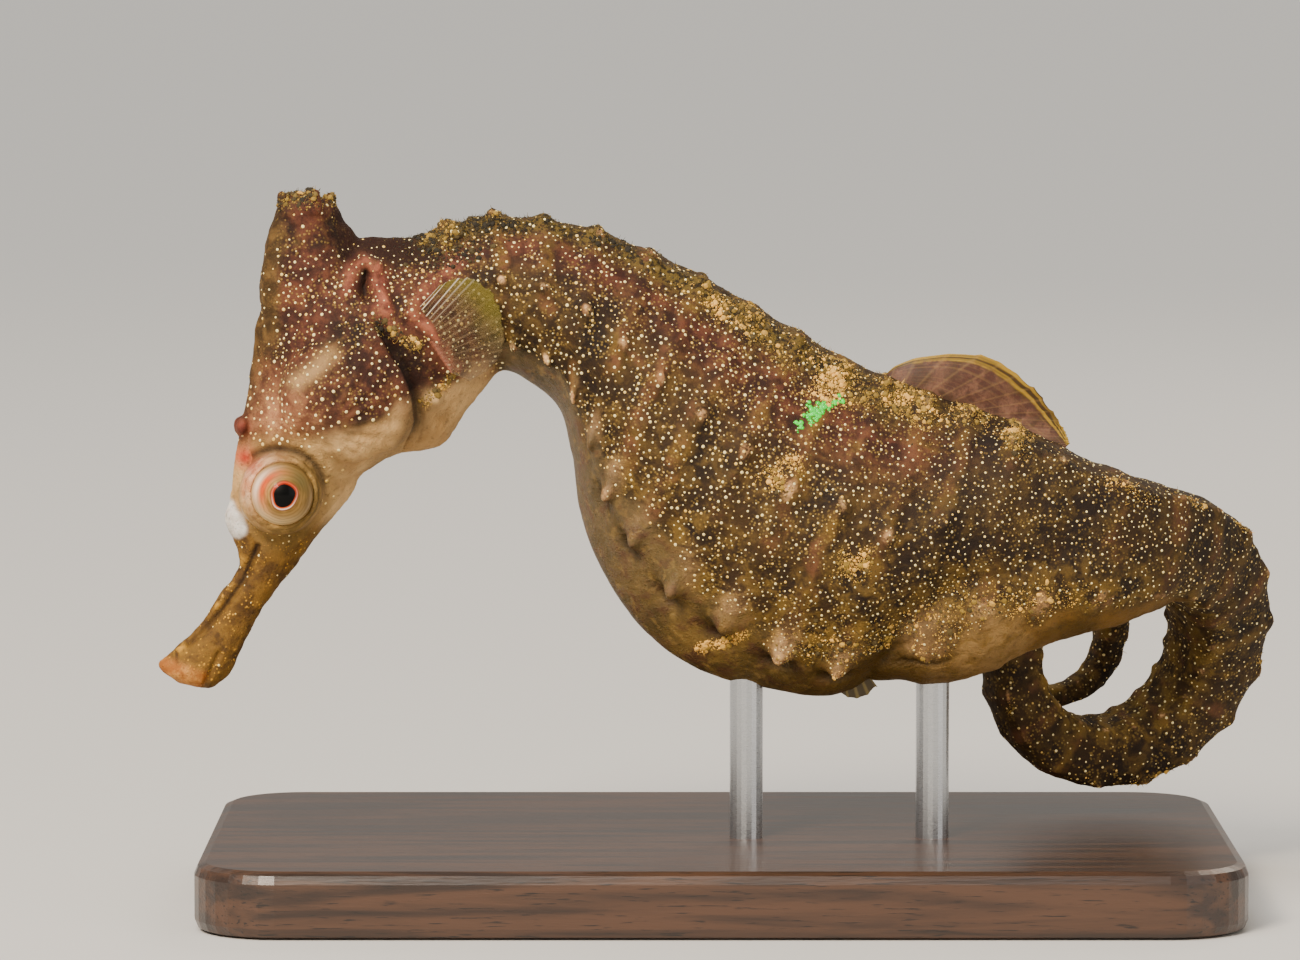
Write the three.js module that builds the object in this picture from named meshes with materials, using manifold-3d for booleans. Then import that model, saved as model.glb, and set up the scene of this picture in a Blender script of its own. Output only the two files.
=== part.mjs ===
// A life-size seahorse on a display stand, in millimetres, +Z up.
// The animal is seen from its left side along +Y: head at -X, back at +Z, tail curling away at +X.
// The origin is the centre of the base's underside.
import * as THREE from "three";
import { mergeVertices } from "three/addons/utils/BufferGeometryUtils.js";
import Module from "manifold-3d";

const wasm = await Module();
wasm.setup();

// ---------------------------------------------------------------- driving dimensions

const TRUNK_RINGS = 11;
const TAIL_RINGS = 34;
const TAIL_LENGTH = 64;
const CUT = 0.3; // the clear gap that parts two neighbouring pieces
const RELIEF_ROOM = 0.6; // how far the rings and ridges can stand out from the plain section

const HEAD_YAW = THREE.MathUtils.degToRad(8); // the head is turned a little to its left
const YAW_START = 13.5; // station where the turn begins
const YAW_FULL = 10.5; // station where it is complete

const EYE = { x: -26.6, z: 25.25, y: 3.05, radius: 1.95 };
const ORBIT = { y: 1.7, depth: 2.3, radius: 2.75 }; // the bony ring round an eye, and its distance from the middle
const ROD_RADIUS = 1.0;
const RODS = { front: { x: 1.6, sink: 2.2 }, rear: { x: 12.8, sink: 2.6 } };
const BASE = { length: 62, depth: 36, height: 4, corner: 5, bevel: 0.7, y: 3 };
const ROD_Y = 0;
const CREST_HEIGHT = 0.12; // of a bony ring between its ridges
const BELLY_ANGLE = 140; // degrees from the back: the rings fade out below this on the trunk

const smooth = THREE.MathUtils.smoothstep;

// Cross-sections of the head and trunk in the middle plane, from the lips (0) to the tail root (24).
// Each row is dorsal x, dorsal z, ventral x, ventral z, half width, dorsal narrowing, ventral narrowing.
const STATIONS = [
  [-33.7, 15.0, -30.4, 13.4, 1.25, 0.1, 0.1],
  [-33.0, 15.5, -29.4, 14.2, 1.25, 0.1, 0.1],
  [-31.4, 17.0, -28.6, 16.0, 0.95, 0.15, 0.1],
  [-30.1, 18.9, -27.5, 18.0, 0.95, 0.2, 0.1],
  [-28.9, 20.8, -25.9, 20.1, 1.2, 0.25, 0.1],
  [-29.5, 23.1, -23.9, 22.7, 1.9, 0.4, 0.25],
  [-29.3, 25.6, -22.2, 24.8, 2.7, 0.45, 0.35],
  [-28.9, 28.6, -21.5, 26.1, 3.4, 0.5, 0.4],
  [-28.2, 32.2, -19.4, 27.2, 4.1, 0.55, 0.35],
  [-27.5, 35.8, -17.7, 27.5, 4.3, 0.6, 0.35],
  [-25.2, 39.6, -16.4, 28.0, 4.1, 0.6, 0.4],
  [-21.8, 40.2, -15.1, 29.9, 3.9, 0.55, 0.4],
  [-18.6, 40.2, -13.9, 31.4, 3.8, 0.5, 0.35],
  [-16.1, 40.8, -13.1, 32.2, 3.6, 0.4, 0.3],
  [-13.2, 41.4, -11.8, 31.8, 3.7, 0.35, 0.3],
  [-9.6, 41.1, -9.8, 30.2, 4.1, 0.35, 0.35],
  [-5.9, 40.0, -8.9, 27.3, 4.6, 0.35, 0.4],
  [-2.3, 38.4, -8.4, 23.8, 5.2, 0.35, 0.45],
  [1.2, 36.5, -7.2, 20.4, 5.7, 0.35, 0.45],
  [4.5, 34.6, -4.8, 16.8, 6.0, 0.35, 0.45],
  [7.5, 32.9, -1.2, 14.1, 6.1, 0.35, 0.45],
  [10.4, 31.6, 3.3, 13.0, 6.0, 0.35, 0.4],
  [13.3, 30.5, 7.8, 12.9, 5.7, 0.35, 0.35],
  [16.2, 29.6, 13.4, 17.4, 5.2, 0.3, 0.2],
  [19.0, 28.4, 17.4, 18.3, 4.6, 0.2, 0.1],
];
const ROOT = STATIONS.length - 1; // the tail's path starts at the last station
const NECK = 13; // station of the shoulder girdle, where trunk ring 0 lies
const TRUNK_END = 22.6; // station of the last trunk ring
const PIVOT_X = -13.5; // the head turns about a vertical line through the neck
const SNOUT_END = 4.6;
const HEAD_END = 11.2;
const NECK_END = 13.5;
const SEAM = 0.06; // in stations: what each of two neighbouring lengths of the body gives up

// The tail bends aside over its first rings, then curls under in a loose spiral.
const TAIL = {
  aside: THREE.MathUtils.degToRad(50),
  asideStart: 1,
  asideEnd: 11,
  straight: 8, // length before the curl
  ramp: 6, // length over which the curl sets in
  rootCurl: 0.01,
  outerCurl: 0.12, // curvature in 1/mm where the spiral starts
  tipCurl: 0.3, // and how much it has grown to at the tip
  twist: 0.035,
  tipSize: 0.5, // half depth at the tip
  taper: 3.2, // and how much more it is at the root, without the flare
  flare: 3, // length over which the root's extra depth dies away
  slimness: 0.96, // width over depth
};
const RELIEF_DEPTH = 5; // half depth at which the relief has its full height on the tail

// Ridges: the angle from the back in degrees at a station, the knob height, the ridge height and its width.
const TRUNK_RIDGES = [
  { angle: () => 24, knob: 0.75, ridge: 0.25, width: 9 },
  { angle: (t) => 76 + 8 * smooth(t, 20, 22), knob: 0.55, ridge: 0.15, width: 9 },
  { angle: (t) => 120 + 8 * smooth(t, 14, 19) + 12 * smooth(t, 19.5, 22), knob: 0.85, ridge: 0.2, width: 9 },
];
const TAIL_RIDGES = [
  { angle: () => 45, knob: 0.5, ridge: 0.2, width: 14 },
  { angle: () => 135, knob: 0.3, ridge: 0.15, width: 14 },
];

// ---------------------------------------------------------------- curves and frames

const catmullRom = (points) => new THREE.CatmullRomCurve3(points, false, "catmullrom", 0.5);
const dorsalLine = catmullRom(STATIONS.map(([x, z]) => new THREE.Vector3(x, 0, z)));
const ventralLine = catmullRom(STATIONS.map((row) => new THREE.Vector3(row[2], 0, row[3])));
const shapeLine = catmullRom(STATIONS.map((row) => new THREE.Vector3(row[4], row[5], row[6])));
const headTurn = (station) => HEAD_YAW * (1 - smooth(station, YAW_FULL, YAW_START));

function turned(point, angle) {
  return point
    .clone()
    .sub(new THREE.Vector3(PIVOT_X, 0, 0))
    .applyAxisAngle(new THREE.Vector3(0, 0, 1), angle)
    .add(new THREE.Vector3(PIVOT_X, 0, 0));
}

// The frame of the tail at every 0.1 mm of its length.
const TAIL_STEP = 0.1;
const tailFrames = (() => {
  const top = dorsalLine.getPoint(1);
  const bottom = ventralLine.getPoint(1);
  let up = top.clone().sub(bottom).normalize();
  let side = new THREE.Vector3(0, 1, 0);
  let along = new THREE.Vector3().crossVectors(side, up);
  const at = top.clone().add(bottom).multiplyScalar(0.5);
  const frames = [];
  const count = Math.round(TAIL_LENGTH / TAIL_STEP);
  for (let i = 0; i <= count; i++) {
    const s = i * TAIL_STEP;
    frames.push({ at: at.clone(), up: up.clone(), side: side.clone(), along: along.clone() });
    const swing = THREE.MathUtils.clamp((s - TAIL.asideStart) / (TAIL.asideEnd - TAIL.asideStart), 0, 1);
    const aside =
      ((TAIL.aside / (TAIL.asideEnd - TAIL.asideStart)) * Math.PI * Math.sin(Math.PI * swing)) / 2;
    const onset = smooth(s, TAIL.straight, TAIL.straight + TAIL.ramp);
    const spiralLength = TAIL_LENGTH - TAIL.straight - TAIL.ramp;
    const wound = Math.max(0, (s - TAIL.straight - TAIL.ramp) / spiralLength) ** 1.5;
    const curl =
      TAIL.rootCurl + (TAIL.outerCurl - TAIL.rootCurl) * onset + (TAIL.tipCurl - TAIL.outerCurl) * wound;
    const next = along
      .clone()
      .addScaledVector(up, -curl * TAIL_STEP)
      .addScaledVector(side, aside * TAIL_STEP)
      .normalize();
    side
      .addScaledVector(along, -aside * TAIL_STEP)
      .addScaledVector(up, TAIL.twist * onset * TAIL_STEP)
      .addScaledVector(next, -side.dot(next))
      .normalize();
    up = new THREE.Vector3().crossVectors(next, side);
    at.addScaledVector(along, TAIL_STEP);
    along = next;
  }
  return frames;
})();

const rootDepth = dorsalLine.getPoint(1).distanceTo(ventralLine.getPoint(1)) / 2;

// A cross-section's frame and size. Below ROOT t is a station, and past it ROOT plus millimetres of tail.
function section(t) {
  if (t <= ROOT) {
    const f = t / ROOT;
    const top = dorsalLine.getPoint(f);
    const bottom = ventralLine.getPoint(f);
    const shape = shapeLine.getPoint(f);
    const angle = headTurn(t);
    const up = top.clone().sub(bottom);
    const halfDepth = up.length() / 2;
    return {
      at: turned(top.clone().add(bottom).multiplyScalar(0.5), angle),
      up: up.normalize().applyAxisAngle(new THREE.Vector3(0, 0, 1), angle),
      side: new THREE.Vector3(0, 1, 0).applyAxisAngle(new THREE.Vector3(0, 0, 1), angle),
      halfDepth,
      halfWidth: shape.x,
      dorsal: shape.y,
      ventral: shape.z,
      square: 2 + 1.2 * smooth(t, TRUNK_END, ROOT),
    };
  }
  const s = Math.min(t - ROOT, TAIL_LENGTH);
  const frame = tailFrames[Math.round(s / TAIL_STEP)];
  const taper = 1 - s / TAIL_LENGTH;
  const flare = Math.exp(-s / TAIL.flare);
  const halfDepth = TAIL.tipSize + TAIL.taper * taper + (rootDepth - TAIL.tipSize - TAIL.taper) * flare;
  return {
    ...frame,
    halfDepth,
    halfWidth: halfDepth * (TAIL.slimness - 0.06 * flare),
    dorsal: 0.2 * flare,
    ventral: 0.1 * flare,
    square: 3.2,
  };
}

// ---------------------------------------------------------------- surface relief

const ringOf = (t) =>
  t <= TRUNK_END
    ? ((t - NECK) / (TRUNK_END - NECK)) * TRUNK_RINGS
    : t <= ROOT
      ? TRUNK_RINGS + (t - TRUNK_END) * 1.1
      : TRUNK_RINGS + (ROOT - TRUNK_END) * 1.1 + tailRing(t - ROOT);
const tailRing = (s) => (TAIL_RINGS - 2) * (1 - Math.sqrt(Math.max(0, 1 - s / TAIL_LENGTH)) ** 1.25);

// How far the skin stands out at angle (radians from the back), at section t.
function relief(t, angle) {
  if (t < NECK - 0.5) return 0;
  const ring = ringOf(t);
  const crest = (0.5 + 0.5 * Math.cos(2 * Math.PI * ring)) ** 2;
  const onTail = t > TRUNK_END;
  const fade = smooth(t, NECK - 0.5, NECK + 0.8);
  const size = onTail ? section(t).halfDepth / RELIEF_DEPTH : 1;
  const degrees = Math.abs(THREE.MathUtils.radToDeg(angle));
  const stress = Math.round(ring) % 2 ? 1 : 0.7;
  let height = CREST_HEIGHT * crest * (degrees < BELLY_ANGLE || onTail ? 1 : 0);
  for (const ridge of onTail ? TAIL_RIDGES : TRUNK_RIDGES) {
    const away = (degrees - ridge.angle(t)) / ridge.width;
    const bump = Math.exp(-away * away);
    height += bump * (ridge.ridge + ridge.knob * stress * crest);
  }
  return height * fade * size;
}

// The point of the skin at section t and an angle from the back; positive angles are the animal's right.
function skinPoint(t, angle, grow = 0, plain = false) {
  const { at, up, side, halfDepth, halfWidth, dorsal, ventral, square } = section(t);
  const c = Math.cos(angle);
  const s = Math.sin(angle);
  const power = 2 / square;
  const narrowing = c > 0 ? dorsal * c ** 1.5 : ventral * c * c;
  const z = (halfDepth + grow) * Math.sign(c) * Math.abs(c) ** power;
  const y = (halfWidth + grow) * Math.sign(s) * Math.abs(s) ** power * (1 - narrowing);
  const out = new THREE.Vector3().addScaledVector(up, z).addScaledVector(side, y);
  const stretch = plain ? 1 : 1 + relief(t, angle) / Math.max(out.length(), 0.3);
  return at.clone().addScaledVector(out, stretch);
}

// ---------------------------------------------------------------- solids

function solidFrom(geometry) {
  geometry.deleteAttribute("normal");
  geometry.deleteAttribute("uv");
  const merged = mergeVertices(geometry, 1e-4);
  return new wasm.Manifold(
    new wasm.Mesh({
      numProp: 3,
      vertProperties: new Float32Array(merged.attributes.position.array),
      triVerts: new Uint32Array(merged.index.array),
    }),
  );
}

function placed(geometry, position, rotation = [0, 0, 0]) {
  const matrix = new THREE.Matrix4().makeRotationFromEuler(new THREE.Euler(...rotation));
  matrix.setPosition(position);
  return geometry.applyMatrix4(matrix);
}

// A closed solid through rings of points, with a fan at each end.
function loft(rings) {
  const count = rings[0].length;
  const positions = rings.flat().flatMap((p) => [p.x, p.y, p.z]);
  const index = [];
  for (let i = 0; i + 1 < rings.length; i++) {
    for (let j = 0; j < count; j++) {
      const a = i * count + j;
      const b = i * count + ((j + 1) % count);
      index.push(a, b, b + count, a, b + count, a + count);
    }
  }
  for (const [first, flip] of [
    [0, false],
    [(rings.length - 1) * count, true],
  ]) {
    const centre = positions.length / 3;
    const middle = new THREE.Vector3();
    for (let j = 0; j < count; j++) middle.add(rings[first / count][j]);
    middle.divideScalar(count);
    positions.push(middle.x, middle.y, middle.z);
    for (let j = 0; j < count; j++) {
      const a = first + j;
      const b = first + ((j + 1) % count);
      if (flip) index.push(centre, a, b);
      else index.push(centre, b, a);
    }
  }
  const geometry = new THREE.BufferGeometry();
  geometry.setAttribute("position", new THREE.Float32BufferAttribute(positions, 3));
  geometry.setIndex(index);
  const solid = solidFrom(geometry);
  if (solid.volume() > 0) return solid;
  for (let i = 0; i < index.length; i += 3) [index[i + 1], index[i + 2]] = [index[i + 2], index[i + 1]];
  geometry.setIndex(index);
  return solidFrom(geometry);
}

const bothSides = (degrees) => {
  const right = degrees.map(THREE.MathUtils.degToRad);
  const left = right.filter((a) => a > 0 && a < Math.PI - 1e-6).map((a) => -a);
  return [...right, ...left.reverse()];
};
const headAngles = () => bothSides([0, 20, 45, 70, 95, 120, 150, 180]);
const tailAngles = () => bothSides([0, 25, 45, 65, 90, 115, 135, 155, 180]);
const tipAngles = () => bothSides([0, 45, 90, 135, 180]);

// A corner of the trunk's section lies on each ridge, with others shared out between.
function trunkAngles(t) {
  const marks = [0, ...TRUNK_RIDGES.map((ridge) => ridge.angle(t)), 180];
  const corners = [0];
  [1, 3, 3, 3].forEach((parts, i) => {
    for (let j = 1; j <= parts; j++) corners.push(marks[i] + ((marks[i + 1] - marks[i]) * j) / parts);
  });
  return bothSides(corners);
}

// A length of the body between two sections, in a number of steps.
function bodyLength(from, to, steps, angles, grow = 0, plain = false) {
  const rings = [];
  for (let i = 0; i <= steps; i++) {
    const t = from + ((to - from) * i) / steps;
    rings.push(angles(t).map((angle) => skinPoint(t, angle, grow, plain)));
  }
  return loft(rings);
}

// The same length without its relief and swollen by `grow`, for cutting room round it.
const bodyRoom = (from, to, steps, grow) => bodyLength(from, to, steps, headAngles, grow, true);

// An elliptical tube in the middle plane, through [low point, high point, half width] rows.
function planeLoft(rows, sides, place = (p) => p) {
  const rings = rows.map(([ax, az, bx, bz, halfWidth]) => {
    const a = new THREE.Vector3(ax, 0, az);
    const b = new THREE.Vector3(bx, 0, bz);
    const middle = a.clone().add(b).multiplyScalar(0.5);
    const half = b.clone().sub(a).multiplyScalar(0.5);
    return Array.from({ length: sides }, (_, j) => {
      const angle = (2 * Math.PI * j) / sides;
      const p = middle.clone().addScaledVector(half, Math.cos(angle));
      p.y = halfWidth * Math.sin(angle);
      return place(p);
    });
  });
  return loft(rings);
}

function ball(x, y, z, rx, ry, rz, segments = 10, rows = 6) {
  const geometry = new THREE.SphereGeometry(1, segments, rows);
  geometry.scale(rx, ry, rz);
  geometry.translate(x, y, z);
  return solidFrom(geometry);
}

const inHead = (solid) =>
  solid
    .translate([-PIVOT_X, 0, 0])
    .rotate([0, 0, THREE.MathUtils.radToDeg(HEAD_YAW)])
    .translate([PIVOT_X, 0, 0]);
const LEFT = -1;
const RIGHT = 1;
const SIDES = [
  ["left", LEFT],
  ["right", RIGHT],
];

// ---------------------------------------------------------------- head

const snout = bodyLength(0, SNOUT_END - SEAM, 9, headAngles);
let head = bodyLength(SNOUT_END + SEAM, HEAD_END - SEAM, 12, headAngles);

// Bumps of bone on the head: x, distance from the middle plane, z, and three radii.
const HEAD_BUMPS = {
  orbit: [EYE.x, ORBIT.y, EYE.z, ORBIT.radius, ORBIT.depth, ORBIT.radius],
  browSpine: [-28.6, 1.7, 28.6, 0.8, 0.7, 0.7],
  cheekSpine: [-20.2, 3.0, 28.3, 0.9, 0.9, 0.8],
};
for (const [, sign] of SIDES) {
  for (const [x, y, z, rx, ry, rz] of Object.values(HEAD_BUMPS)) {
    head = head.add(inHead(ball(x, sign * y, z, rx, ry, rz)));
  }
}
const noseSpine = [-29.0, 0, 23.3, 0.9, 0.7, 1.2];
head = head.add(inHead(ball(...noseSpine)));

// Gill covers: a low dome on each cheek, parted from the head by a thin cut.
const GILL = { x: -22.6, z: 30.9, rx: 4.1, ry: 2.4, rz: 3.9, y: 2.55, sides: 16, rows: 10 };
const GILL_BOX = { width: 12, depth: 4, inner: 2.9 }; // the part of the dome kept, past `inner` from the middle
const gillCovers = {};
for (const [name, sign] of SIDES) {
  const dome = (grow) =>
    ball(GILL.x, sign * GILL.y, GILL.z, GILL.rx + grow, GILL.ry + grow, GILL.rz + grow, GILL.sides, GILL.rows);
  const outside = (grow) =>
    solidFrom(
      new THREE.BoxGeometry(GILL_BOX.width, GILL_BOX.depth, GILL_BOX.width).translate(
        GILL.x,
        sign * (GILL_BOX.inner + GILL_BOX.depth / 2 - grow),
        GILL.z,
      ),
    );
  gillCovers[name] = inHead(dome(0).intersect(outside(0)));
  head = head.subtract(inHead(dome(CUT).intersect(outside(CUT))));
}

const eyes = {};
for (const [name, sign] of SIDES) {
  const globe = (radius) => inHead(ball(EYE.x, sign * EYE.y, EYE.z, radius, radius, radius, 14, 10));
  eyes[name] = globe(EYE.radius);
  head = head.subtract(globe(EYE.radius + CUT));
  const orbitRoom = [ORBIT.radius + CUT, ORBIT.depth + CUT, ORBIT.radius + CUT];
  gillCovers[name] = gillCovers[name].subtract(inHead(ball(EYE.x, sign * ORBIT.y, EYE.z, ...orbitRoom)));
}

// Coronet: a tall crown with five blunt points round its top.
const CROWN_ROWS = [
  [-27.4, 34.2, -20.6, 38.6, 2.3],
  [-27.6, 36.8, -21.9, 40.3, 2.0],
  [-27.4, 39.2, -22.6, 41.3, 1.7],
  [-27.0, 41.0, -23.0, 42.1, 1.5],
  [-26.5, 42.5, -23.4, 42.9, 1.6],
  [-25.9, 43.2, -24.1, 43.3, 1.0],
];
const CROWN_TOP = { x: -24.9, z: 42.6, rx: 1.45, ry: 1.35 };
const CROWN_POINTS = 5;
const CROWN_POINT = { radius: 0.55, height: 1.7, rise: 0.35, splay: 0.5 };
let coronet = planeLoft(CROWN_ROWS, 12, (p) => turned(p, HEAD_YAW));
for (let i = 0; i < CROWN_POINTS; i++) {
  const angle = (2 * Math.PI * i) / CROWN_POINTS;
  const cone = new THREE.ConeGeometry(CROWN_POINT.radius, CROWN_POINT.height, 5).rotateX(Math.PI / 2);
  cone.rotateY(CROWN_POINT.splay * Math.cos(angle)).rotateX(-CROWN_POINT.splay * Math.sin(angle));
  cone.translate(
    CROWN_TOP.x + CROWN_TOP.rx * Math.cos(angle),
    CROWN_TOP.ry * Math.sin(angle),
    CROWN_TOP.z + CROWN_POINT.rise,
  );
  coronet = coronet.add(inHead(solidFrom(cone)));
}
coronet = coronet.subtract(bodyRoom(6.5, 12.5, 12, CUT));

// ---------------------------------------------------------------- trunk and tail

const neck = bodyLength(HEAD_END + SEAM, NECK_END - SEAM, 5, trunkAngles);
const ringStation = (ring) => NECK + (ring * (TRUNK_END - NECK)) / TRUNK_RINGS;
const RING_STEPS = 3;
function trunkLength(firstRing, lastRing) {
  const from = firstRing ? ringStation(firstRing) : NECK_END;
  const steps = Math.round((lastRing - (firstRing || 0.5)) * RING_STEPS);
  return bodyLength(from + SEAM, ringStation(lastRing) - SEAM, steps, trunkAngles);
}
const trunk = {
  trunk_front: trunkLength(0, 3.5),
  trunk_middle: trunkLength(3.5, 7.5),
  trunk_rear: trunkLength(7.5, 11),
};

// The tail is parted into its root and five lengths; each ends at a mark in mm along it.
const TAIL_MARKS = [4, 14, 25, 37, 50, TAIL_LENGTH];
const tail = {};
let lastMark = null;
TAIL_MARKS.forEach((mark, i) => {
  const from = lastMark === null ? TRUNK_END + SEAM : ROOT + lastMark + CUT / 2;
  const to = mark === TAIL_LENGTH ? ROOT + mark : ROOT + mark - CUT / 2;
  const rings = ringOf(to) - ringOf(from);
  tail[`tail_${i + 1}`] = bodyLength(from, to, Math.round(rings * 2) + 1, i < 3 ? tailAngles : tipAngles);
  lastMark = mark;
});

// Brood pouch: a smooth bag under the tail root. Rows are section, depth below the tail, half width.
const POUCH_ROWS = [
  [22.25, 0.3, 2.2],
  [22.6, 2.2, 3.4],
  [23.0, 4.3, 4.1],
  [23.5, 4.6, 4.4],
  [24.0, 4.1, 4.4],
  [25.5, 3.6, 4.2],
  [27.5, 3.0, 3.9],
  [29.5, 2.4, 3.5],
  [31.5, 1.7, 3.0],
  [33.5, 0.9, 2.4],
  [35.0, 0.2, 1.8],
];
const POUCH_LIFT = 1.6; // how far the bag's middle lies above the tail's underside
function pouchRing([t, below, halfWidth], grow = 0) {
  const { at, up, side, halfDepth } = section(t);
  const middle = at.clone().addScaledVector(up, POUCH_LIFT - halfDepth);
  return Array.from({ length: 16 }, (_, j) => {
    const angle = (2 * Math.PI * j) / 16;
    return middle
      .clone()
      .addScaledVector(up, (below + POUCH_LIFT + grow) * Math.cos(angle))
      .addScaledVector(side, (halfWidth + grow) * Math.sin(angle));
  });
}
let pouch = loft(POUCH_ROWS.map((row) => pouchRing(row)))
  .subtract(bodyRoom(TRUNK_END, ROOT + 15, 16, CUT + RELIEF_ROOM))
  .subtract(bodyRoom(20, TRUNK_END + 0.02, 6, CUT + RELIEF_ROOM + 0.3));

// ---------------------------------------------------------------- fins

const FIN_THICKNESS = 0.5;

// A flat fin from its outline in its own plane, thickness across it.
function finPlate(points) {
  const shape = new THREE.Shape();
  shape.moveTo(points[0][0], points[0][1]);
  shape.splineThru(points.slice(1).map(([x, y]) => new THREE.Vector2(x, y)));
  shape.closePath();
  return new THREE.ExtrudeGeometry(shape, {
    depth: FIN_THICKNESS,
    bevelEnabled: false,
    curveSegments: 5,
  }).translate(0, 0, -FIN_THICKNESS / 2);
}

const DORSAL_FIN = [
  [10.0, 30.0],
  [10.6, 32.3],
  [13.2, 33.3],
  [16.2, 33.0],
  [18.6, 31.6],
  [20.3, 29.6],
  [21.0, 28.0],
  [19.2, 26.5],
  [14.0, 28.5],
];
const dorsalFin = solidFrom(finPlate(DORSAL_FIN).rotateX(Math.PI / 2)).subtract(
  bodyRoom(19, ROOT + 6, 16, CUT + 0.2),
);

const ANAL_FIN = [
  [7.0, 14.4],
  [6.6, 12.4],
  [7.6, 11.9],
  [8.9, 12.1],
  [9.6, 13.6],
  [8.6, 15.0],
];
let analFin = solidFrom(finPlate(ANAL_FIN).rotateX(Math.PI / 2))
  .subtract(bodyRoom(20, TRUNK_END, 6, CUT + 0.2))
  .subtract(loft(POUCH_ROWS.map((row) => pouchRing(row, CUT))));

// Pectoral fins: a fan on each shoulder, leaning out from the body. The outline's origin is the fin's root.
const PECTORAL = { x: -16.9, z: 33.9, y: 4.35, lean: 0.22, turn: 0.1 };
const PECTORAL_FAN = [
  [0.2, -2.2],
  [-0.6, 1.2],
  [1.4, 3.6],
  [2.6, 3.9],
  [3.7, 2.6],
  [4.1, 0.6],
  [3.6, -1.2],
  [2.0, -2.2],
];
const pectoralFins = {};
for (const [name, sign] of SIDES) {
  const fan = finPlate(PECTORAL_FAN).rotateX(Math.PI / 2);
  const plate = placed(fan, new THREE.Vector3(PECTORAL.x, sign * PECTORAL.y, PECTORAL.z), [
    0,
    0,
    sign * PECTORAL.lean,
  ]);
  pectoralFins[name] = solidFrom(plate).subtract(bodyRoom(10, 16, 12, CUT));
}

// ---------------------------------------------------------------- research tag

// A streak of soft green marker under the skin of the left flank, standing just proud of it.
const TAG = { station: 20.15, angle: THREE.MathUtils.degToRad(-47), length: 1.35, width: 0.55, depth: 0.45 };
const tagAt = skinPoint(TAG.station, TAG.angle);
function tagSolid(grow) {
  const geometry = new THREE.SphereGeometry(1, 12, 8);
  geometry.scale(TAG.length + grow, TAG.depth + grow, TAG.width + grow);
  return solidFrom(placed(geometry, tagAt, [0.35, 0.35, 0]));
}
const tag = tagSolid(0);
trunk.trunk_rear = trunk.trunk_rear.subtract(tagSolid(CUT));
trunk.trunk_middle = trunk.trunk_middle.subtract(tagSolid(CUT));

// ---------------------------------------------------------------- stand

// The rods reach up into the body, which is bored to clear them.
const lowestOn = (solid, x) => {
  const probe = solidFrom(
    new THREE.CylinderGeometry(ROD_RADIUS, ROD_RADIUS, 80, 16).rotateX(Math.PI / 2).translate(x, ROD_Y, 40),
  );
  return probe.intersect(solid).boundingBox().min[2];
};
const rodSolid = (x, top, grow) =>
  solidFrom(
    new THREE.CylinderGeometry(ROD_RADIUS + grow, ROD_RADIUS + grow, top - BASE.height + 2 * grow, 20)
      .rotateX(Math.PI / 2)
      .translate(x, ROD_Y, (top + BASE.height) / 2),
  );
const rods = {};
for (const [name, body] of [
  ["front", trunk.trunk_rear.add(trunk.trunk_middle)],
  ["rear", pouch],
]) {
  const { x, sink } = RODS[name];
  const top = lowestOn(body, x) + sink;
  rods[name] = rodSolid(x, top, 0);
  const bore = rodSolid(x, top, CUT);
  for (const key of Object.keys(trunk)) trunk[key] = trunk[key].subtract(bore);
  pouch = pouch.subtract(bore);
}

function baseSolid() {
  const { length, depth, height, corner, bevel, y } = BASE;
  const w = length / 2 - bevel;
  const d = depth / 2 - bevel;
  const r = corner - bevel;
  const shape = new THREE.Shape();
  shape.moveTo(-w + r, -d);
  shape.lineTo(w - r, -d);
  shape.absarc(w - r, -d + r, r, -Math.PI / 2, 0);
  shape.lineTo(w, d - r);
  shape.absarc(w - r, d - r, r, 0, Math.PI / 2);
  shape.lineTo(-w + r, d);
  shape.absarc(-w + r, d - r, r, Math.PI / 2, Math.PI);
  shape.lineTo(-w, -d + r);
  shape.absarc(-w + r, -d + r, r, Math.PI, 1.5 * Math.PI);
  const geometry = new THREE.ExtrudeGeometry(shape, {
    depth: height - 2 * bevel,
    bevelThickness: bevel,
    bevelSize: bevel,
    bevelSegments: 2,
    curveSegments: 4,
  });
  return solidFrom(geometry.translate(0, y, bevel));
}

// ---------------------------------------------------------------- the model

const MATERIALS = {
  skin: new THREE.MeshStandardMaterial({ color: 0x5a4330, roughness: 0.55 }),
  pouch: new THREE.MeshStandardMaterial({ color: 0x7a6034, roughness: 0.45 }),
  fin: new THREE.MeshStandardMaterial({ color: 0x8a7448, roughness: 0.4 }),
  eye: new THREE.MeshStandardMaterial({ color: 0xb08a5c, roughness: 0.15 }),
  tag: new THREE.MeshStandardMaterial({ color: 0x3ad24a, roughness: 0.4 }),
  rod: new THREE.MeshStandardMaterial({ color: 0xb9bcc0, roughness: 0.25, metalness: 1 }),
  base: new THREE.MeshStandardMaterial({ color: 0x2a211b, roughness: 0.5 }),
};

const seahorse = new THREE.Group();
function addMesh(name, solid, material) {
  const { numProp, vertProperties, triVerts } = solid.getMesh();
  const positions = new Float32Array((vertProperties.length / numProp) * 3);
  for (let i = 0; i < positions.length / 3; i++) {
    positions.set(vertProperties.subarray(i * numProp, i * numProp + 3), i * 3);
  }
  const geometry = new THREE.BufferGeometry();
  geometry.setAttribute("position", new THREE.BufferAttribute(positions, 3));
  geometry.setIndex(new THREE.BufferAttribute(new Uint32Array(triVerts), 1));
  geometry.computeVertexNormals();
  const mesh = new THREE.Mesh(geometry, material);
  mesh.name = name;
  seahorse.add(mesh);
}

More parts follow.
